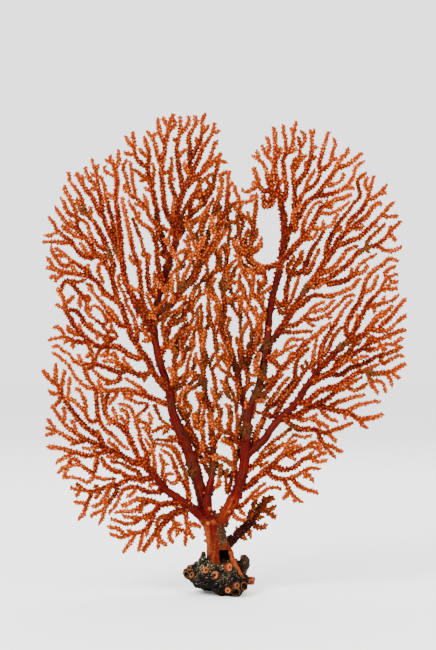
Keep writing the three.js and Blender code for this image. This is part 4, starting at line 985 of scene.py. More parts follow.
def limbCore(name):
    keys = ("bare", "age", "tone", "polypSize", "ahead", "grain")
    parts = {"spots": [], "quads": [], "tris": [], "count": 0, **{key: [] for key in keys}}
    for branch in branches:
        if branch["limb"] == name:
            if name == darkSpray["limb"] and branch["row"] == 0:
                for sample in branch["samples"]:
                    foot = max(0.0, 1 - sample["run"] / darkSpray["swellRun"])
                    sample["width"] *= darkSpray["thicker"] + darkSpray["swell"] * foot
            wide = branch["samples"][0]["width"] > bars["stemFrom"]
            addBar(parts, branch, bars["stemSides"] if wide else bars["sides"])
    spots = np.vstack(parts["spots"])
    mesh = meshFrom(name + "_core", spots, np.vstack(parts["quads"]), np.vstack(parts["tris"]))
    for key in ("bare", "age", "tone", "polypSize"):
        addAttribute(mesh, key, "FLOAT", np.concatenate(parts[key]))
    addAttribute(mesh, "ahead", "FLOAT_VECTOR", np.vstack(parts["ahead"]))
    addAttribute(mesh, "grain", "FLOAT_VECTOR", np.vstack(parts["grain"]))
    crust = crustAmount(spots)
    addAttribute(mesh, "crust", "FLOAT", crust)
    away = awayFrom(spots, fleshPatch["at"])
    addAttribute(mesh, "flesh", "FLOAT", np.clip(1.6 - away / fleshPatch["reach"], 0, 1))
    away = awayFrom(spots, innerBrownAndShadePatch["at"], *innerBrownAndShadePatch["half"])
    addAttribute(mesh, "inner", "FLOAT", np.clip(1.5 - away, 0, 1))
    addAttribute(mesh, "lift", "FLOAT", np.zeros(len(spots)))
    cover = 1 - np.concatenate(parts["bare"]) * bars["bareCover"] * (1 - crust)
    addAttribute(mesh, "cover", "FLOAT", cover)
    return mesh


# Materials
def rgb(red, green, blue):
    def linear(value):
        value /= 255
        return value / 12.92 if value <= 0.04045 else ((value + 0.055) / 1.055) ** 2.4
    return (linear(red), linear(green), linear(blue), 1.0)


def newMaterial(name):
    material = bpy.data.materials.new(name)
    material.use_nodes = True
    tree = material.node_tree
    shader = tree.nodes["Principled BSDF"]
    return material, tree, shader


def readAttribute(tree, name):
    node = tree.nodes.new("ShaderNodeAttribute")
    node.attribute_name = name
    return node


def addNoise(tree, scale, detail=4.0, rough=0.55, vector=None):
    node = tree.nodes.new("ShaderNodeTexNoise")
    node.inputs["Scale"].default_value = scale
    node.inputs["Detail"].default_value = detail
    node.inputs["Roughness"].default_value = rough
    if vector is None:
        place = tree.nodes.new("ShaderNodeTexCoord")
        vector = place.outputs["Object"]
    tree.links.new(vector, node.inputs["Vector"])
    return node.outputs["Fac"]


def addMath(tree, kind, one, two=None, three=None, clamp=False):
    node = tree.nodes.new("ShaderNodeMath")
    node.operation = kind
    node.use_clamp = clamp
    for slot, value in enumerate((one, two, three)):
        if value is None:
            continue
        if isinstance(value, (int, float)):
            node.inputs[slot].default_value = value
        else:
            tree.links.new(value, node.inputs[slot])
    return node.outputs[0]


def addRamp(tree, factor, stops):
    node = tree.nodes.new("ShaderNodeValToRGB")
    ramp = node.color_ramp
    while len(ramp.elements) < len(stops):
        ramp.elements.new(0.5)
    for element, (place, colour) in zip(ramp.elements, stops):
        element.position = place
        element.color = colour
    tree.links.new(factor, node.inputs["Fac"])
    return node.outputs["Color"]


def mask(tree, factor, low, high):
    # black up to low, white from high
    return addRamp(tree, factor, ((low, (0, 0, 0, 1)), (high, (1, 1, 1, 1))))


def addMix(tree, factor, one, two, blend="MIX"):
    node = tree.nodes.new("ShaderNodeMix")
    node.data_type = "RGBA"
    node.blend_type = blend
    for slot, value in ((0, factor), (6, one), (7, two)):
        if isinstance(value, (int, float, tuple)):
            node.inputs[slot].default_value = value
        else:
            tree.links.new(value, node.inputs[slot])
    return node.outputs[2]


def addBump(tree, shader, height, strength, distance):
    node = tree.nodes.new("ShaderNodeBump")
    node.inputs["Strength"].default_value = strength
    node.inputs["Distance"].default_value = distance
    tree.links.new(height, node.inputs["Height"])
    tree.links.new(node.outputs["Normal"], shader.inputs["Normal"])


rind = {
    "twigDark": rgb(38, 4, 0), "twigDeep": rgb(72, 10, 1), "twigBody": rgb(99, 23, 7),
    "twigLight": rgb(133, 46, 14), "twigPale": rgb(216, 118, 44), "tipPale": rgb(164, 68, 16),
    "stemDark": rgb(30, 0, 0), "stemBody": rgb(64, 0, 0), "stemLight": rgb(98, 9, 1),
    "fleshDark": rgb(50, 7, 1), "fleshBody": rgb(90, 20, 3), "fleshLight": rgb(134, 50, 15),
    "crustDark": rgb(22, 12, 5), "crustLight": rgb(98, 58, 24), "innerBrownAndShade": rgb(46, 24, 9),
    "nearBlack": rgb(18, 6, 6),
}


def makeRind(name, darken=0.0):
    material, tree, shader = newMaterial(name)
    lift = readAttribute(tree, "lift").outputs["Fac"]
    tone = readAttribute(tree, "tone").outputs["Fac"]
    age = readAttribute(tree, "age").outputs["Fac"]
    bare = readAttribute(tree, "bare").outputs["Fac"]
    crust = readAttribute(tree, "crust").outputs["Fac"]
    grain = readAttribute(tree, "grain").outputs["Vector"]
    patches = addNoise(tree, 70, 3)
    specks = addNoise(tree, 420, 3)
    # polyps lighter at their rims than at their feet and middles, by lift: painted highlight and painted
    # shade
    level = addMath(tree, "MULTIPLY_ADD", lift, 0.46, 0.06)
    level = addMath(tree, "MULTIPLY_ADD", patches, 0.42, level)
    level = addMath(tree, "MULTIPLY_ADD", specks, 0.22, level)
    level = addMath(tree, "MULTIPLY_ADD", tone, 0.10, level)
    level = addMath(tree, "MULTIPLY_ADD", age, -0.16, level, clamp=True)
    twig = addRamp(tree, level, ((0.22, rind["twigDark"]), (0.38, rind["twigDeep"]), (0.55, rind["twigBody"]),
                                 (0.74, rind["twigLight"]), (0.92, rind["twigPale"])))
    twig = addMix(tree, addMath(tree, "MULTIPLY", tone, 0.30), twig, rind["tipPale"])
    grooves = addNoise(tree, 4.5, 5, 0.6, grain)
    stem = addRamp(tree, grooves, ((0.32, rind["stemDark"]), (0.52, rind["stemBody"]),
                                   (0.72, rind["stemLight"])))
    salmon = addRamp(tree, grooves, ((0.34, rind["fleshDark"]), (0.52, rind["fleshBody"]),
                                     (0.70, rind["fleshLight"])))
    stem = addMix(tree, readAttribute(tree, "flesh").outputs["Fac"], stem, salmon)
    colour = addMix(tree, bare, twig, stem)
    crustColour = addRamp(tree, specks, ((0.35, rind["crustDark"]), (0.65, rind["crustLight"])))
    colour = addMix(tree, addMath(tree, "MULTIPLY", crust, 0.72), colour, crustColour)
    # brown blotches in the middle of the fan: browner twigs, and painted shade where the twigs lie over each
    # other
    blotches = mask(tree, addNoise(tree, 150, 3), 0.46, 0.60)
    shade = addMath(tree, "MULTIPLY", readAttribute(tree, "inner").outputs["Fac"], blotches)
    colour = addMix(tree, addMath(tree, "MULTIPLY", shade, 0.62), colour, rind["innerBrownAndShade"])
    if darken:
        dark = addMath(tree, "MULTIPLY_ADD", tone, -0.45, darken)
        colour = addMix(tree, dark, colour, rind["nearBlack"])
    tree.links.new(colour, shader.inputs["Base Color"])
    rough = addMath(tree, "MULTIPLY_ADD", bare, -0.30, 0.78)
    tree.links.new(rough, shader.inputs["Roughness"])
    shader.inputs["Specular IOR Level"].default_value = 0.045
    height = addMath(tree, "MULTIPLY_ADD", grooves, 0.7, specks)
    addBump(tree, shader, height, 0.35, 0.0006)
    return material


twigRind = makeRind("twigRind")
darkRind = makeRind("darkRind", darken=0.92)


# One calyx: a low, blunt knob, seated a little into the rind
calyxShape = {"rings": ((-0.5, 1.0), (0.85, 0.76)), "middle": 0.62, "corners": 6}  # shares: height, radius


def makeCalyx():
    rings = calyxShape["rings"]
    corners = calyxShape["corners"]
    spots = []
    for row, (height, radius) in enumerate(rings):
        for k in range(corners):
            angle = 2 * math.pi * (k + 0.5 * row) / corners
            spots.append((radius * math.cos(angle), radius * math.sin(angle), height))
    spots.append((0, 0, calyxShape["middle"]))
    faces = []
    for row in range(len(rings) - 1):
        for k in range(corners):
            low = row * corners
            high = low + corners
            follow = (k + 1) % corners
            if row % 2 == 0:
                faces += [(low + k, low + follow, high + k), (low + follow, high + follow, high + k)]
            else:
                faces += [(low + k, low + follow, high + follow), (low + k, high + follow, high + k)]
    top = (len(rings) - 1) * corners
    faces += [(top + k, top + (k + 1) % corners, top + corners) for k in range(corners)]
    mesh = bpy.data.meshes.new("calyx")
    mesh.from_pydata(spots, [], faces)
    mesh.shade_smooth()
    # lift: 0 at the foot ring, 1 at the rim, 0.35 in the middle: painted highlight on the polyps' rims,
    # painted shade at their feet and in their middles
    addAttribute(mesh, "lift", "FLOAT", [0.0] * corners + [1.0] * corners + [0.35])
    calyx = bpy.data.objects.new("calyx", mesh)
    bpy.context.scene.collection.objects.link(calyx)
    return calyx


polyps = {
    "spacing": 1.5, "density": 1.4, "radius": 0.84, "height": 1.12,  # mm, per square mm, mm, mm
    "lean": 0.40, "spread": 0.25, "seed": 11,  # share of the way ahead, share of the size
}


def makePolypTree(calyx):
    # polyps scattered over the rind, leaning towards the twig's tip, made real and joined to it
    tree = bpy.data.node_groups.new("polypCover", "GeometryNodeTree")
    face = tree.interface
    face.new_socket("Geometry", in_out="INPUT", socket_type="NodeSocketGeometry")
    for label, value in (("Spacing", polyps["spacing"] * mm), ("Radius", polyps["radius"] * mm),
                         ("Height", polyps["height"] * mm), ("Lean", polyps["lean"])):
        socket = face.new_socket(label, in_out="INPUT", socket_type="NodeSocketFloat")
        socket.default_value = value
    face.new_socket("Seed", in_out="INPUT", socket_type="NodeSocketInt")
    face.new_socket("Rind", in_out="INPUT", socket_type="NodeSocketMaterial")
    face.new_socket("Geometry", in_out="OUTPUT", socket_type="NodeSocketGeometry")

    def add(kind, **settings):
        node = tree.nodes.new(kind)
        for key, value in settings.items():
            setattr(node, key, value)
        return node

    def named(name, kind):
        node = add("GeometryNodeInputNamedAttribute", data_type=kind)
        node.inputs["Name"].default_value = name
        return node.outputs["Attribute"]

    def math2(kind, one, two):
        node = add("ShaderNodeMath", operation=kind)
        for slot, value in enumerate((one, two)):
            if isinstance(value, (int, float)):
                node.inputs[slot].default_value = value
            else:
                tree.links.new(value, node.inputs[slot])
        return node.outputs[0]

    given = add("NodeGroupInput").outputs
    scatter = add("GeometryNodeDistributePointsOnFaces", distribute_method="POISSON")
    tree.links.new(given["Geometry"], scatter.inputs["Mesh"])
    tree.links.new(given["Spacing"], scatter.inputs["Distance Min"])
    scatter.inputs["Density Max"].default_value = polyps["density"] / mm ** 2
    tree.links.new(named("cover", "FLOAT"), scatter.inputs["Density Factor"])
    tree.links.new(given["Seed"], scatter.inputs["Seed"])
    leaning = add("ShaderNodeVectorMath", operation="SCALE")
    tree.links.new(named("ahead", "FLOAT_VECTOR"), leaning.inputs["Vector"])
    tree.links.new(given["Lean"], leaning.inputs["Scale"])
    way = add("ShaderNodeVectorMath", operation="ADD")
    tree.links.new(scatter.outputs["Normal"], way.inputs[0])
    tree.links.new(leaning.outputs["Vector"], way.inputs[1])
    turned = add("FunctionNodeAlignRotationToVector", axis="Z")
    tree.links.new(way.outputs["Vector"], turned.inputs["Vector"])
    chance = add("FunctionNodeRandomValue", data_type="FLOAT")
    chance.inputs["Min"].default_value = 1 - polyps["spread"]
    chance.inputs["Max"].default_value = 1 + polyps["spread"]
    size = math2("MULTIPLY", chance.outputs["Value"], named("polypSize", "FLOAT"))
    wide = math2("MULTIPLY", size, given["Radius"])
    tall = math2("MULTIPLY", size, given["Height"])
    scale = add("ShaderNodeCombineXYZ")
    for slot, value in enumerate((wide, wide, tall)):
        tree.links.new(value, scale.inputs[slot])
    shape = add("GeometryNodeObjectInfo", transform_space="ORIGINAL")
    shape.inputs["Object"].default_value = calyx
    place = add("GeometryNodeInstanceOnPoints")
    tree.links.new(scatter.outputs["Points"], place.inputs["Points"])
    tree.links.new(shape.outputs["Geometry"], place.inputs["Instance"])
    tree.links.new(turned.outputs["Rotation"], place.inputs["Rotation"])
    tree.links.new(scale.outputs["Vector"], place.inputs["Scale"])
    real = add("GeometryNodeRealizeInstances")
    tree.links.new(place.outputs["Instances"], real.inputs["Geometry"])
    both = add("GeometryNodeJoinGeometry")
    tree.links.new(real.outputs["Geometry"], both.inputs["Geometry"])
    tree.links.new(given["Geometry"], both.inputs["Geometry"])
    painted = add("GeometryNodeSetMaterial")
    tree.links.new(both.outputs["Geometry"], painted.inputs["Geometry"])
    tree.links.new(given["Rind"], painted.inputs["Material"])
    out = add("NodeGroupOutput")
    tree.links.new(painted.outputs["Geometry"], out.inputs["Geometry"])
    return tree


def setInput(modifier, label, value):
    sockets = modifier.node_group.interface.items_tree
    socket = next(s for s in sockets if s.name == label and s.in_out == "INPUT")
    modifier[socket.identifier] = value


def addObject(name, mesh):
    thing = bpy.data.objects.new(name, mesh)
    bpy.context.scene.collection.objects.link(thing)
    return thing


def applied(thing):
    # the evaluated shape as a plain mesh, with the modifiers taken off
    depsgraph = bpy.context.evaluated_depsgraph_get()
    mesh = bpy.data.meshes.new_from_object(thing.evaluated_get(depsgraph), depsgraph=depsgraph)
    thing.modifiers.clear()
    thing.data = mesh
    return thing


def keepInWidth(mesh):
    # polyps at the outermost tips stay inside the solids' width
    spots = np.empty(len(mesh.vertices) * 3, dtype=np.float32)
    mesh.vertices.foreach_get("co", spots)
    spots = spots.reshape(-1, 3)
    spots[:, 0] = np.clip(spots[:, 0], packedBounds[0][0], packedBounds[1][0])
    mesh.vertices.foreach_set("co", spots.ravel())
    mesh.update()


def coverWithPolyps(thing, tree, material, seed):
    modifier = thing.modifiers.new("polyps", "NODES")
    modifier.node_group = tree
    setInput(modifier, "Spacing", polyps["spacing"] * mm)
    setInput(modifier, "Radius", polyps["radius"] * mm)
    setInput(modifier, "Height", polyps["height"] * mm)
    setInput(modifier, "Lean", polyps["lean"])
    setInput(modifier, "Seed", polyps["seed"] + seed)
    setInput(modifier, "Rind", material)
    return applied(thing)


calyx = makeCalyx()
polypTree = makePolypTree(calyx)
triangles = 0
for order, name in enumerate(limbs):
    if name == "trunk":
        continue
    limb = addObject(name + "_rind", limbCore(name))
    isDark = name == darkSpray["limb"]
    material = darkRind if isDark else twigRind
    coverWithPolyps(limb, polypTree, material, order)
    keepInWidth(limb.data)
    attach(limb, "root")
    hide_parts(name)
    triangles += sum(len(p.vertices) - 2 for p in limb.data.polygons)
print("sea fan: limbs and sprays,", triangles, "triangles")
bpy.data.objects.remove(calyx)


# The rock: a lump with its bumps and stubs fused, then roughened, with the cup corals set on it
rockShape = {
    "middle": (-3.5, -1, 9.5), "halfSize": (18.5, 17.5, 13.5),
    # place, reach, height in mm
    "bumps": (((-21, -2, 12), 5.5, 3.2), ((-12.5, -7, 20), 4, 2), ((-18.5, -4, 21), 5, -4.5),
              ((-12, -12, 6), 6, 1), ((-2, -16, 9), 6, 2.2), ((8, -15, 3), 7, 6),
              ((13, -4, 14), 5, -3), ((7, 2, 20), 5, 1), ((-20, -3, 3), 6, -4), ((0, -16, 2), 4, -2),
              ((1.5, -8, 22), 5.5, -4), ((10, 12, 10), 7, 2.5), ((-10, 15, 12), 7, 3)),
    # route in pixels, widths and depths in mm at its two ends
    "stubs": (("238,574 241,569 243.5,563 244.5,560", 8, 6.6, -1, -2),
              ("243,580 248,580 252.6,581", 7, 4.4, -5, -6), ("197.5,564 193,569", 3.8, 3.6, -4, -6),
              ("203.5,559 203.2,552.5", 3.6, 3.2, -9, -9), ("203,563 202.5,559.5", 5.8, 5.4, -11, -11)),
    # mm the front left is clear of the ground, left of this pixel: over so many mm across,
    # from so far behind the middle over so many mm forward, and up to this height
    "undercut": {"height": 4.8, "edge": 219, "across": 6, "behind": 9, "forward": 11, "upTo": 9},
    # orange flesh: pixel and depth, reach in mm
    "lumpTip": ((253.5, 581, -6), 3.6), "fingerTip": ((245, 557, -2), 2.6),
    "finger": ((243.5, 563, -1.5), 4.2),
    "voxel": 0.42,
    "roughness": ((6.5, 1.2, 0.5), (2.4, 0.8, 0.3), (1.0, 0.4, 0.2)),  # length, height, share
}
cupShape = {"corners": 30, "folds": 10, "facing": (0, -0.5, 0.1), "missDepth": -6.0, "openFrom": 0.2}
# place in pixels, radius and height in mm, share of brown, share of the width that is open
cupCorals = (((205.8, 571), 2.0, 1.6, 0.35, 0.16), ((215.5, 576), 2.7, 1.7, 0.3, 0.15),
             ((227.8, 568.5), 2.8, 2.0, 0.05, 0.1), ((228.2, 590), 1.9, 1.8, 0.15, 0.14),
             ((235.6, 591), 3.2, 1.7, 0.9, 0.78), ((235.5, 586), 2.1, 1.8, 0.7, 0.24),
             ((243.8, 586.8), 2.6, 1.6, 0.85, 0.7), ((187.3, 574.5), 2.5, 1.8, 0.9, 0.5),
             ((192.5, 576), 2.0, 1.4, 0.75, 0.26), ((190.5, 568.5), 2.3, 1.5, 0.8, 0.14))
trunkShape = {
    # the roots and the knob: route in pixels, widths and depths in mm at its two ends
    "stubs": (("225,545 229.2,553 231.8,560 235,567 238.5,572 243,578", 5.4, 3.0, -4, -13),
              ("222,545 224.2,556 224.6,563", 8, 7.4, -3, -6),
              ("217,552 215.5,560 214.5,565", 12, 7, -3, -11),
              ("203.8,561 203.4,553.6", 3.4, 3.2, -6, -6)),
    "crustLine": "200,551 204,552 207,555 210,558 213,563.5 216,565.5 219,563 222,561.5 229,562 "
                 "232,566.5 236,573 240,577.5 246,582",
    # patches: middle and half size in pixels
    "crustPatches": ((223, 529, 6, 19), (235, 514, 3, 9)), "rootCrust": (243, 577, 5, 5),
    "redPatches": ((202, 509, 13, 11), (212, 520, 7, 16), (238, 490, 13, 11)),
    # pale patches: the paler orange of the right root, and a painted highlight down the trunk's lit left edge
    "paleAndLitPatches": ((237, 567, 8, 12), (206.5, 540, 3.5, 16)), "pale": 0.38,
    # place in pixels, radius in mm, share of brown
    "nubs": (((207.8, 523), 1.2, 0), ((213.8, 521.7), 1.5, 0.5), ((228.8, 511), 1.3, 0),
             ((229, 518), 1.5, 0), ((224.7, 524), 1.2, 0.2), ((217.2, 516), 1.9, 1),
             ((216, 508.8), 1.5, 1), ((228, 524), 1.2, 1), ((240, 505), 1.6, 0),
             ((209.7, 508.3), 1.0, 0), ((211.3, 513.3), 0.9, 0), ((204.5, 535), 1.0, 0),
             ((204.5, 541.3), 1.1, 0.5), ((200.5, 522), 1.1, 0.6), ((204, 493), 1.0, 0),
             ((181.3, 517.5), 2.0, 0.8), ((221, 541), 0.9, 0.6), ((224, 534), 1.0, 0.9),
             ((220, 527), 1.0, 1), ((225.5, 540), 0.9, 1), ((227.5, 531), 1.1, 1), ((208, 548), 0.8, 0.4)),
    # mm of each stem's foot that the trunk takes in, and how much thicker it is there
    "joins": {"left_stem": 15, "right_stem": 15, "middle_stem": 12, "left_low_limb": 10}, "swell": 0.5,
    # the hollow is pushed into the trunk's front and painted near-black inside: painted shade
    "hollow": {"at": (224.2, 555.3), "half": (4.9, 6.2), "slant": 0.10, "deep": 6.0},  # pixels, mm
    "voxel": 0.40, "waves": ((4.0, 4, 9.0), (1.3, 3, 2.0)),  # mm; length, octaves, offset
}


def ballMesh(centre, radii, level=3):
    ball = bmesh.new()
    bmesh.ops.create_icosphere(ball, subdivisions=level, radius=1)
    spots = np.array([v.co for v in ball.verts]) * radii + centre
    faces = [[v.index for v in f.verts] for f in ball.faces]
    ball.free()
    return spots, faces


def ballRow(spots, widths, level=2, gap=0.7):
    # a row of balls along a line: the fuse turns it into one smooth bar
    runs = np.concatenate(([0], np.cumsum(np.linalg.norm(np.diff(spots, axis=0), axis=1))))
    parts = []
    for run in np.arange(0, runs[-1] + 0.01, gap):
        centre = np.array([np.interp(run, runs, spots[:, k]) for k in range(3)])
        parts.append(ballMesh(centre, np.full(3, np.interp(run, runs, widths) / 2), level))
    return parts


# where the photograph was taken from, in mm
eye = np.array(((photo["wide"] / 2 - photo["middleX"]) * mmPerPixel, -photo["distance"],
                (photo["groundY"] - photo["high"] / 2) * mmPerPixel))


def seenAt(px, pz, y):
    # the place at a depth that a pixel shows, in the solids' frame
    x, z = fromPixel(px, pz)
    share = (y - eye[1]) / -eye[1]
    return eye + (np.array((x, 0.0, z)) - eye) * share + shift


def stubRow(route, footWidth, endWidth, footY, endY):
    pixels = pixelRoute(route)
    share = np.linspace(0, 1, len(pixels))
    spots = np.array([seenAt(px, pz, footY + (endY - footY) * s) for (px, pz), s in zip(pixels, share)])
    return ballRow(spots, footWidth + (endWidth - footWidth) * share)


def fused(name, parts, voxel):
    spots, faces, count = [], [], 0
    for partSpots, partFaces in parts:
        spots.append(partSpots)
        faces += [[v + count for v in f] for f in partFaces]
        count += len(partSpots)
    mesh = bpy.data.meshes.new(name)
    mesh.from_pydata((np.vstack(spots) * mm).tolist(), [], faces)
    thing = addObject(name, mesh)
    remesh = thing.modifiers.new("fuse", "REMESH")
    remesh.mode = "VOXEL"
    remesh.voxel_size = voxel * mm
    smooth = thing.modifiers.new("soften", "SMOOTH")
    smooth.iterations = 5
    return applied(thing)


def meshSpots(mesh):
    spots = np.empty(len(mesh.vertices) * 3, dtype=np.float32)
    mesh.vertices.foreach_get("co", spots)
    return spots.reshape(-1, 3).astype(float) / mm


def meshNormals(mesh):
    normals = np.empty(len(mesh.vertices) * 3, dtype=np.float32)
    mesh.vertices.foreach_get("normal", normals)
    return normals.reshape(-1, 3).astype(float)


def setSpots(mesh, spots):
    mesh.vertices.foreach_set("co", (spots * mm).astype(np.float32).ravel())
    mesh.update()
    mesh.shade_smooth()


def turbulence(spots, length, octaves=3, offset=0.0):
    place = Vector((offset, offset * 1.7, -offset))
    return np.array([noise.fractal(Vector(p) / length + place, 1.0, 2.0, octaves) for p in spots])


def patch(spots, px, pz, halfX, halfZ):
    # 1 in the middle of a patch given in pixels, 0 outside it
    away = awayFrom(spots, (px, pz), halfX * mmPerPixel, halfZ * mmPerPixel)
    return np.clip(1.6 - 1.2 * away, 0, 1)


def anyPatch(spots, places):
    return np.max([patch(spots, *place) for place in places], axis=0)


def nearTo(spots, most, place, reach):
    # how near each point is to a place given by its pixel and depth
    return np.clip(most - np.linalg.norm(spots - seenAt(*place), axis=1) / reach, 0, 1)


def rockLump():
    middle = np.array(rockShape["middle"])
    spots, faces = ballMesh(middle, np.array(rockShape["halfSize"]), 6)
    outward = spots - middle
    outward /= np.linalg.norm(outward, axis=1)[:, None]
    lift = 0.7 * np.sin(spots[:, 0] * 0.9 + 2) * np.sin(spots[:, 1] * 0.8) * np.sin(spots[:, 2] * 0.75 + 1)
    for at, reach, height in rockShape["bumps"]:
        near = np.linalg.norm(spots - np.array(at), axis=1) / reach
        lift += height * np.exp(-near * near)
    return spots + outward * lift[:, None] + shift, faces


def cupRings(radius, height, gape):
    # rings of one cup from its foot over the rim into the pit: radius, height, lightness, pit; the lightness
    # is painted highlight on the rim and painted shade at the foot and down the throat, the pit is painted
    # shade in the hollow
    return ((0.98 * radius, -0.9 * height, 0.1, 0), (1.0 * radius, 0.0, 0.25, 0),
            (0.97 * radius, 0.55 * height, 0.55, 0), (0.88 * radius, 0.92 * height, 0.9, 0),
            ((0.45 + 0.5 * gape) * radius, 1.0 * height, 1.0, 0),
            ((0.16 + 0.8 * gape) * radius, 0.78 * height, 0.55, 0.2),
            (gape * radius, 0.40 * height, 0.2, 0.8), (0.7 * gape * radius, 0.10 * height, 0.0, 1.0))


def cupMesh(tree, pixel, radius, height, brown, gape):
    corners = cupShape["corners"]
    isOpen = gape > cupShape["openFrom"]
    start = Vector(eye + shift)
    target = Vector(seenAt(*pixel, 0.0))
    hit, normal, _, _ = tree.ray_cast(start, (target - start).normalized())
    if hit is None:
        hit, normal, _, _ = tree.find_nearest(Vector(seenAt(*pixel, cupShape["missDepth"])))
    normal = (normal + Vector(cupShape["facing"])).normalized()
    turn = normal.to_track_quat("Z", "Y")
    spots, lift, pit = [], [], []
    for ringRadius, up, light, dark in cupRings(radius, height, gape):
        for k in range(corners):
            angle = 2 * math.pi * k / corners
            fold = math.cos(angle * cupShape["folds"])
            wide = ringRadius * (1 + 0.05 * fold + 0.06 * math.sin(angle * 2 + radius * 9))
            place = Vector((wide * math.cos(angle), wide * math.sin(angle), up + 0.05 * height * fold))
            spots.append(hit + turn @ place)
            # lighter on the folds' ridges: painted highlight; the pit darkened: painted shade in the cup's
            # hollow
            lift.append(light + 0.18 * fold)
            pit.append(dark if isOpen else dark * 0.5)
    spots.append(hit + turn @ Vector((0, 0, 0)))
    lift.append(0.0)
    pit.append(1.0 if isOpen else 0.6)
    rings = len(spots) // corners
    faces = []
    for low in range(0, (rings - 1) * corners, corners):
        high = low + corners
        faces += [(low + k, low + (k + 1) % corners, high + (k + 1) % corners, high + k)
                  for k in range(corners)]
    last = (rings - 1) * corners
    faces += [(last + k, last + (k + 1) % corners, rings * corners) for k in range(corners)]
    count = len(spots)
    return np.array([tuple(s) for s in spots]), faces, np.array(lift), np.array(pit), np.full(count, brown)


def keepInBox(spots, node):
    low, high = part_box(node)
    return np.clip(spots, np.array(low) / mm, np.array(high) / mm)


def makeRock():
    lump = rockLump()
    parts = [lump]
    for stub in rockShape["stubs"]:
        parts += stubRow(*stub)
    body = fused("rockBody", parts, rockShape["voxel"])
    spots = meshSpots(body.data)
    normals = meshNormals(body.data)
    # raised: how far the roughness lifts each point, kept for the colour as painted light on its crests and
    # painted shade in its dips
    raised = np.zeros(len(spots))
    for order, (length, height, share) in enumerate(rockShape["roughness"]):
        wave = turbulence(spots, length, 3, 5.0 * order)
        raised += wave * share
        spots += normals * (wave * height)[:, None]
    cut = rockShape["undercut"]
    edge = fromPixel(cut["edge"], 0)[0] + shift[0]
    under = (np.clip((edge - spots[:, 0]) / cut["across"], 0, 1)
             * np.clip((shift[1] + cut["behind"] - spots[:, 1]) / cut["forward"], 0, 1))
    spots[:, 2] = np.maximum(spots[:, 2], 0)
    spots[:, 2] += cut["height"] * under * np.clip(1 - spots[:, 2] / cut["upTo"], 0, 1)
    spots = keepInBox(spots, "holdfast_rock")
    lumpTip = nearTo(spots, 1.5, *rockShape["lumpTip"])
    fingerTip = nearTo(spots, 1.5, *rockShape["fingerTip"])
    finger = nearTo(spots, 1.9, *rockShape["finger"])
    bodyFaces = [list(p.vertices) for p in body.data.polygons]
    tree = BVHTree.FromPolygons(spots.tolist(), bodyFaces)
    bpy.data.objects.remove(body)
    allSpots, allFaces, count = [spots], bodyFaces, len(spots)
    cup = [np.maximum(lumpTip, finger * 0.85)]
    # flesh lighter on the roughness's crests and darker in its dips: painted light and painted shade; darker
    # on the finger, lighter at its tip
    lift = [0.4 + raised - 0.35 * finger + 0.5 * fingerTip]
    pit = [np.zeros(count)]
    brown = [finger]
    for pixel, radius, height, share, gape in cupCorals:
        cupSpots, cupFaces, cupLift, cupPit, cupBrown = cupMesh(tree, pixel, radius, height, share, gape)
        allFaces += [[v + count for v in f] for f in cupFaces]
        allSpots.append(cupSpots)
        count += len(cupSpots)
        cup.append(np.ones(len(cupSpots)))
        lift.append(cupLift)
        pit.append(cupPit)
        brown.append(cupBrown)
        raised = np.concatenate((raised, np.zeros(len(cupSpots))))
    mesh = bpy.data.meshes.new("encrusted_rock")
    mesh.from_pydata((keepInBox(np.vstack(allSpots), "holdfast_rock") * mm).tolist(), [], allFaces)
    mesh.shade_smooth()
    for label, values in (("cup", cup), ("lift", lift), ("pit", pit), ("brown", brown)):
        addAttribute(mesh, label, "FLOAT", np.concatenate(values))
    addAttribute(mesh, "raised", "FLOAT", raised)
    return addObject("encrusted_rock", mesh)


def mainBranches():
    # the trunk and the stems that leave it, without their twigs
    return [b for b in branches if b["row"] == 0 and b["limb"] in ("trunk", *trunkShape["joins"])]


def frontOfStems(px, pz):
    # the place on the front of the trunk or a main stem that a pixel shows
    x, z = fromPixel(px, pz)
    best = None
    nearest = None
    for branch in mainBranches():
        for sample in branch["samples"]:
            away = math.hypot(sample["x"] - x, sample["z"] - z)
            half = sample["width"] / 2
            front = sample["y"] - math.sqrt(max(half * half - away * away, 0))
            if away < half + 1.2 and (best is None or front < best):
                best = front
            if nearest is None or away - half < nearest[0]:
                nearest = (away - half, half / max(away, 1e-6), sample)
    if best is None:
        # beside the stems: on the nearest one's side
        _, share, sample = nearest
        besideX = sample["x"] + (x - sample["x"]) * share
        besideZ = sample["z"] + (z - sample["z"]) * share
        return np.array((besideX, sample["y"], besideZ)) + shift
    return np.array((x, best, z)) + shift


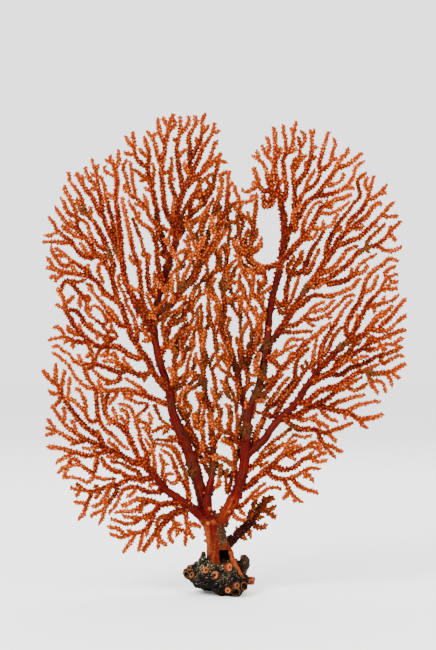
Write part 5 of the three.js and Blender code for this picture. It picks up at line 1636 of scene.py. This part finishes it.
def makeTrunk():
    parts = []
    for branch in mainBranches():
        kept = branch["samples"]
        extra = np.zeros(len(kept))
        if branch["limb"] in trunkShape["joins"]:
            reach = trunkShape["joins"][branch["limb"]]
            kept = [s for s in kept if s["run"] <= reach]
            extra = np.array([trunkShape["swell"] - max(0.0, s["run"] / reach * 2 - 1) for s in kept])
        line = np.array([(s["x"], s["y"], s["z"]) for s in kept]) + shift
        parts += ballRow(line, np.array([s["width"] for s in kept]) + extra, 3)
    for stub in trunkShape["stubs"]:
        parts += stubRow(*stub)
    for (px, pz), radius, brown in trunkShape["nubs"]:
        parts.append(ballMesh(frontOfStems(px, pz), np.full(3, radius * 0.9), 2))
    trunk = fused("trunk_rind", parts, trunkShape["voxel"])
    spots = meshSpots(trunk.data)
    normals = meshNormals(trunk.data)
    hollow = trunkShape["hollow"]
    x, z = fromPixel(*hollow["at"])
    halfX, halfZ = hollow["half"]
    up = (spots[:, 2] - z - shift[2]) / (halfZ * mmPerPixel)
    slanted = hollow["slant"] * up * halfZ * mmPerPixel
    across = (spots[:, 0] - x - shift[0] + slanted) / (halfX * mmPerPixel)
    inside = np.clip((1.0 - np.maximum(np.abs(up), np.abs(across))) * 6, 0, 1) * (spots[:, 1] < shift[1])
    trunkWave, fineWave = (turbulence(spots, *wave) for wave in trunkShape["waves"])
    crust = anyPatch(spots, trunkShape["crustPatches"]) * (spots[:, 1] < shift[1] + 4)
    crust = np.maximum(crust, 1.1 * patch(spots, *trunkShape["rootCrust"]))
    line = np.array([fromPixel(*pixel) for pixel in pixelRoute(trunkShape["crustLine"])])
    nearer = 1 + (spots[:, 1] - shift[1]) / photo["distance"]
    above = shift[2] + np.interp((spots[:, 0] - shift[0]) / nearer, line[:, 0], line[:, 1])
    seenZ = eye[2] + (spots[:, 2] - eye[2]) / nearer
    collar = np.clip((above - seenZ) / 1.2 + 0.5 + 0.35 * fineWave, 0, 1)
    crust = np.maximum(crust, collar)
    spots += normals * (trunkWave * 0.45 + fineWave * (0.18 + 0.35 * crust))[:, None]
    spots[:, 1] += inside * hollow["deep"]
    setSpots(trunk.data, spots)
    red = anyPatch(spots, trunkShape["redPatches"])
    # the knobs' orange on the knobs and the pale patches, one of which is a painted highlight on the trunk's
    # left edge
    paleAndLitTone = trunkShape["pale"] * anyPatch(spots, trunkShape["paleAndLitPatches"])
    nubBrown = np.zeros(len(spots))
    for (px, pz), radius, brown in trunkShape["nubs"]:
        near = np.clip(1.5 - np.linalg.norm(spots - frontOfStems(px, pz), axis=1) / (radius * 0.95), 0, 1)
        paleAndLitTone = np.maximum(paleAndLitTone, near * (1 - brown))
        nubBrown = np.maximum(nubBrown, near * brown)
    angle = np.arctan2(spots[:, 1] - shift[1], spots[:, 0] + 3 - shift[0])
    grain = np.column_stack((np.cos(angle), np.sin(angle), spots[:, 2] * bars["grainScale"]))
    addAttribute(trunk.data, "grain", "FLOAT_VECTOR", grain)
    for label, values in (("hollow", np.clip(inside * 1.5, 0, 1)), ("crust", np.clip(crust + nubBrown, 0, 1)),
                          ("red", red * (1 - paleAndLitTone)), ("paleAndLitShare", paleAndLitTone)):
        addAttribute(trunk.data, label, "FLOAT", values)
    return trunk


crustRock = {
    "dark": rgb(2, 1, 1), "body": rgb(12, 7, 4), "olive": rgb(38, 26, 12), "beige": rgb(84, 60, 32),
    "white": rgb(196, 176, 138), "cup": rgb(98, 32, 12), "cupDark": rgb(34, 10, 5),
    "cupPale": rgb(166, 92, 54), "brown": rgb(44, 21, 8), "pit": rgb(8, 2, 0),
}
trunkColours = {
    "fleshDark": rgb(22, 4, 0), "fleshDeep": rgb(60, 11, 1), "fleshBody": rgb(88, 24, 4),
    "fleshPale": rgb(156, 82, 36), "knobDark": rgb(120, 34, 8), "knobLight": rgb(190, 100, 44),
    "crustDark": rgb(8, 4, 2), "crustBrown": rgb(34, 20, 9), "crustOlive": rgb(76, 50, 26),
    # hollow: the painted shade inside the trunk's hollow
    "crustPale": rgb(150, 120, 80), "hollow": rgb(10, 4, 2),
}


def makeRockMaterial():
    material, tree, shader = newMaterial("encrustedRock")
    cup = readAttribute(tree, "cup").outputs["Fac"]
    pit = readAttribute(tree, "pit").outputs["Fac"]
    lift = readAttribute(tree, "lift").outputs["Fac"]
    brown = readAttribute(tree, "brown").outputs["Fac"]
    raised = readAttribute(tree, "raised").outputs["Fac"]
    broad = addNoise(tree, 190, 5, 0.6)
    fine = addNoise(tree, 1300, 4, 0.7)
    grit = addNoise(tree, 620, 4, 0.65)
    height = tree.nodes.new("ShaderNodeSeparateXYZ")
    tree.links.new(tree.nodes.new("ShaderNodeTexCoord").outputs["Object"], height.inputs[0])
    level = addMath(tree, "MULTIPLY_ADD", grit, 0.5, addMath(tree, "MULTIPLY", broad, 0.5))
    # darker in the dips of the roughness, lighter on its crests: painted shade and painted highlight
    level = addMath(tree, "MULTIPLY_ADD", raised, 0.30, level)
    # the stone darker towards the bottom: painted shade under the overhanging rock
    level = addMath(tree, "MULTIPLY_ADD", height.outputs["Z"], 3.0, addMath(tree, "ADD", level, -0.06))
    stone = addRamp(tree, level, ((0.40, crustRock["dark"]), (0.52, crustRock["body"]),
                                  (0.62, crustRock["olive"]), (0.74, crustRock["beige"])))
    where = addMath(tree, "MULTIPLY_ADD", broad, 0.35, fine)
    where = addMath(tree, "MULTIPLY_ADD", height.outputs["Z"], 4.0, where)
    specks = mask(tree, where, 0.83, 0.89)
    stone = addMix(tree, addMath(tree, "MULTIPLY", specks, 0.8), stone, crustRock["white"])
    # the flesh's tone follows lift: painted highlight on the cups' rims and the roughness's crests, painted
    # shade at the cups' feet and in their throats
    tone = addMath(tree, "MULTIPLY_ADD", lift, 0.5, -0.22)
    tone = addMath(tree, "MULTIPLY_ADD", grit, 0.9, tone, clamp=True)
    flesh = addRamp(tree, tone, ((0.18, crustRock["cupDark"]), (0.48, crustRock["cup"]),
                                 (0.80, crustRock["cupPale"])))
    husk = addRamp(tree, tone, ((0.2, crustRock["body"]), (0.5, crustRock["brown"]),
                                (0.85, crustRock["beige"])))
    flesh = addMix(tree, brown, flesh, husk)
    colour = addMix(tree, cup, stone, flesh)
    # the pits near-black: painted shade in the cups' hollows
    colour = addMix(tree, pit, colour, crustRock["pit"])
    tree.links.new(colour, shader.inputs["Base Color"])
    shader.inputs["Roughness"].default_value = 0.85
    shader.inputs["Specular IOR Level"].default_value = 0.08
    addBump(tree, shader, addMath(tree, "MULTIPLY_ADD", broad, 1.2, fine), 0.6, 0.0007)
    return material


def makeTrunkMaterial():
    material, tree, shader = newMaterial("trunkRind")
    grain = readAttribute(tree, "grain").outputs["Vector"]
    hollow = readAttribute(tree, "hollow").outputs["Fac"]
    crustHere = readAttribute(tree, "crust").outputs["Fac"]
    red = readAttribute(tree, "red").outputs["Fac"]
    paleAndLitShare = readAttribute(tree, "paleAndLitShare").outputs["Fac"]
    grooves = addNoise(tree, 5, 5, 0.6, grain)
    patches = addNoise(tree, 210, 5, 0.6)
    fine = addNoise(tree, 1700, 4, 0.7)
    level = addMath(tree, "MULTIPLY_ADD", grooves, 0.28, addMath(tree, "MULTIPLY", fine, 0.42))
    level = addMath(tree, "MULTIPLY_ADD", patches, 0.30, level)
    flesh = addRamp(tree, level, ((0.38, trunkColours["fleshDark"]), (0.46, trunkColours["fleshDeep"]),
                                  (0.55, trunkColours["fleshBody"]), (0.66, trunkColours["fleshPale"])))
    wine = addRamp(tree, level, ((0.36, rind["stemDark"]), (0.50, rind["stemBody"]),
                                 (0.66, rind["stemLight"])))
    colour = addMix(tree, red, flesh, wine)
    # the knobs' orange, also laid on as a painted highlight down the trunk's left edge
    knob = addRamp(tree, fine, ((0.35, trunkColours["knobDark"]), (0.65, trunkColours["knobLight"])))
    colour = addMix(tree, paleAndLitShare, colour, knob)
    crust = addRamp(tree, fine, ((0.40, trunkColours["crustDark"]), (0.50, trunkColours["crustBrown"]),
                                 (0.59, trunkColours["crustOlive"]), (0.70, trunkColours["crustPale"])))
    where = addMath(tree, "MULTIPLY_ADD", fine, 0.7, addMath(tree, "MULTIPLY", patches, 0.4))
    where = addMath(tree, "MULTIPLY_ADD", crustHere, 0.28, where)
    colour = addMix(tree, mask(tree, where, 0.66, 0.80), colour, crust)
    # the hollow painted near-black: painted shade inside it
    colour = addMix(tree, hollow, colour, trunkColours["hollow"])
    tree.links.new(colour, shader.inputs["Base Color"])
    shader.inputs["Roughness"].default_value = 0.65
    shader.inputs["Specular IOR Level"].default_value = 0.05
    addBump(tree, shader, addMath(tree, "MULTIPLY_ADD", grooves, 0.8, fine), 0.45, 0.0006)
    return material


rock = makeRock()
rock.data.materials.append(makeRockMaterial())
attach(rock, "root")
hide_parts("holdfast_rock")
trunk = makeTrunk()
trunk.data.materials.append(makeTrunkMaterial())
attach(trunk, "root")
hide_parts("trunk")
print("sea fan: rock and trunk,", len(rock.data.polygons) * 2, len(trunk.data.polygons) * 2, "triangles")


# Camera, floor and light
studio = {
    "distance": 1.15, "floor": rgb(248, 248, 247), "floorSize": 8,  # m
    "world": rgb(253, 253, 253), "worldPower": 2.4, "aim": (0, 0, 0.15),
    # name, place and size in m, power in W
    "lamps": (("key", (-0.8, -1.0, 1.1), 0.5, 40), ("fill", (0.9, -0.9, 0.5), 0.9, 8),
              ("back", (0.2, 0.9, 0.9), 0.8, 8)),
}


def makeCamera():
    middleX = (photo["wide"] / 2 - photo["middleX"]) * mmPerPixel + shift[0]
    middleZ = (photo["groundY"] - photo["high"] / 2) * mmPerPixel + shift[2]
    camera = bpy.data.objects.new("camera", bpy.data.cameras.new("camera"))
    bpy.context.scene.collection.objects.link(camera)
    camera.location = (middleX * mm, -studio["distance"], middleZ * mm)
    camera.rotation_euler = (math.pi / 2, 0, 0)
    halfView = photo["high"] * mmPerPixel * mm / 2
    camera.data.sensor_fit = "AUTO"
    camera.data.lens = camera.data.sensor_width / 2 * studio["distance"] / halfView
    camera.data.clip_start = 0.01
    bpy.context.scene.camera = camera


def makeStudio():
    bpy.ops.mesh.primitive_plane_add(size=studio["floorSize"])
    floor = bpy.context.object
    floor.name = "floor"
    material, _, shader = newMaterial("paleFloor")
    shader.inputs["Base Color"].default_value = studio["floor"]
    shader.inputs["Roughness"].default_value = 0.9
    floor.data.materials.append(material)
    world = bpy.data.worlds.new("studio")
    world.use_nodes = True
    world.node_tree.nodes["Background"].inputs["Color"].default_value = studio["world"]
    world.node_tree.nodes["Background"].inputs["Strength"].default_value = studio["worldPower"]
    bpy.context.scene.world = world
    for name, place, size, power in studio["lamps"]:
        light = bpy.data.lights.new(name, "AREA")
        light.energy = power
        light.size = size
        lamp = bpy.data.objects.new(name, light)
        bpy.context.scene.collection.objects.link(lamp)
        lamp.location = place
        lamp.rotation_euler = (Vector(studio["aim"]) - Vector(place)).to_track_quat("-Z", "Y").to_euler()


makeCamera()
makeStudio()
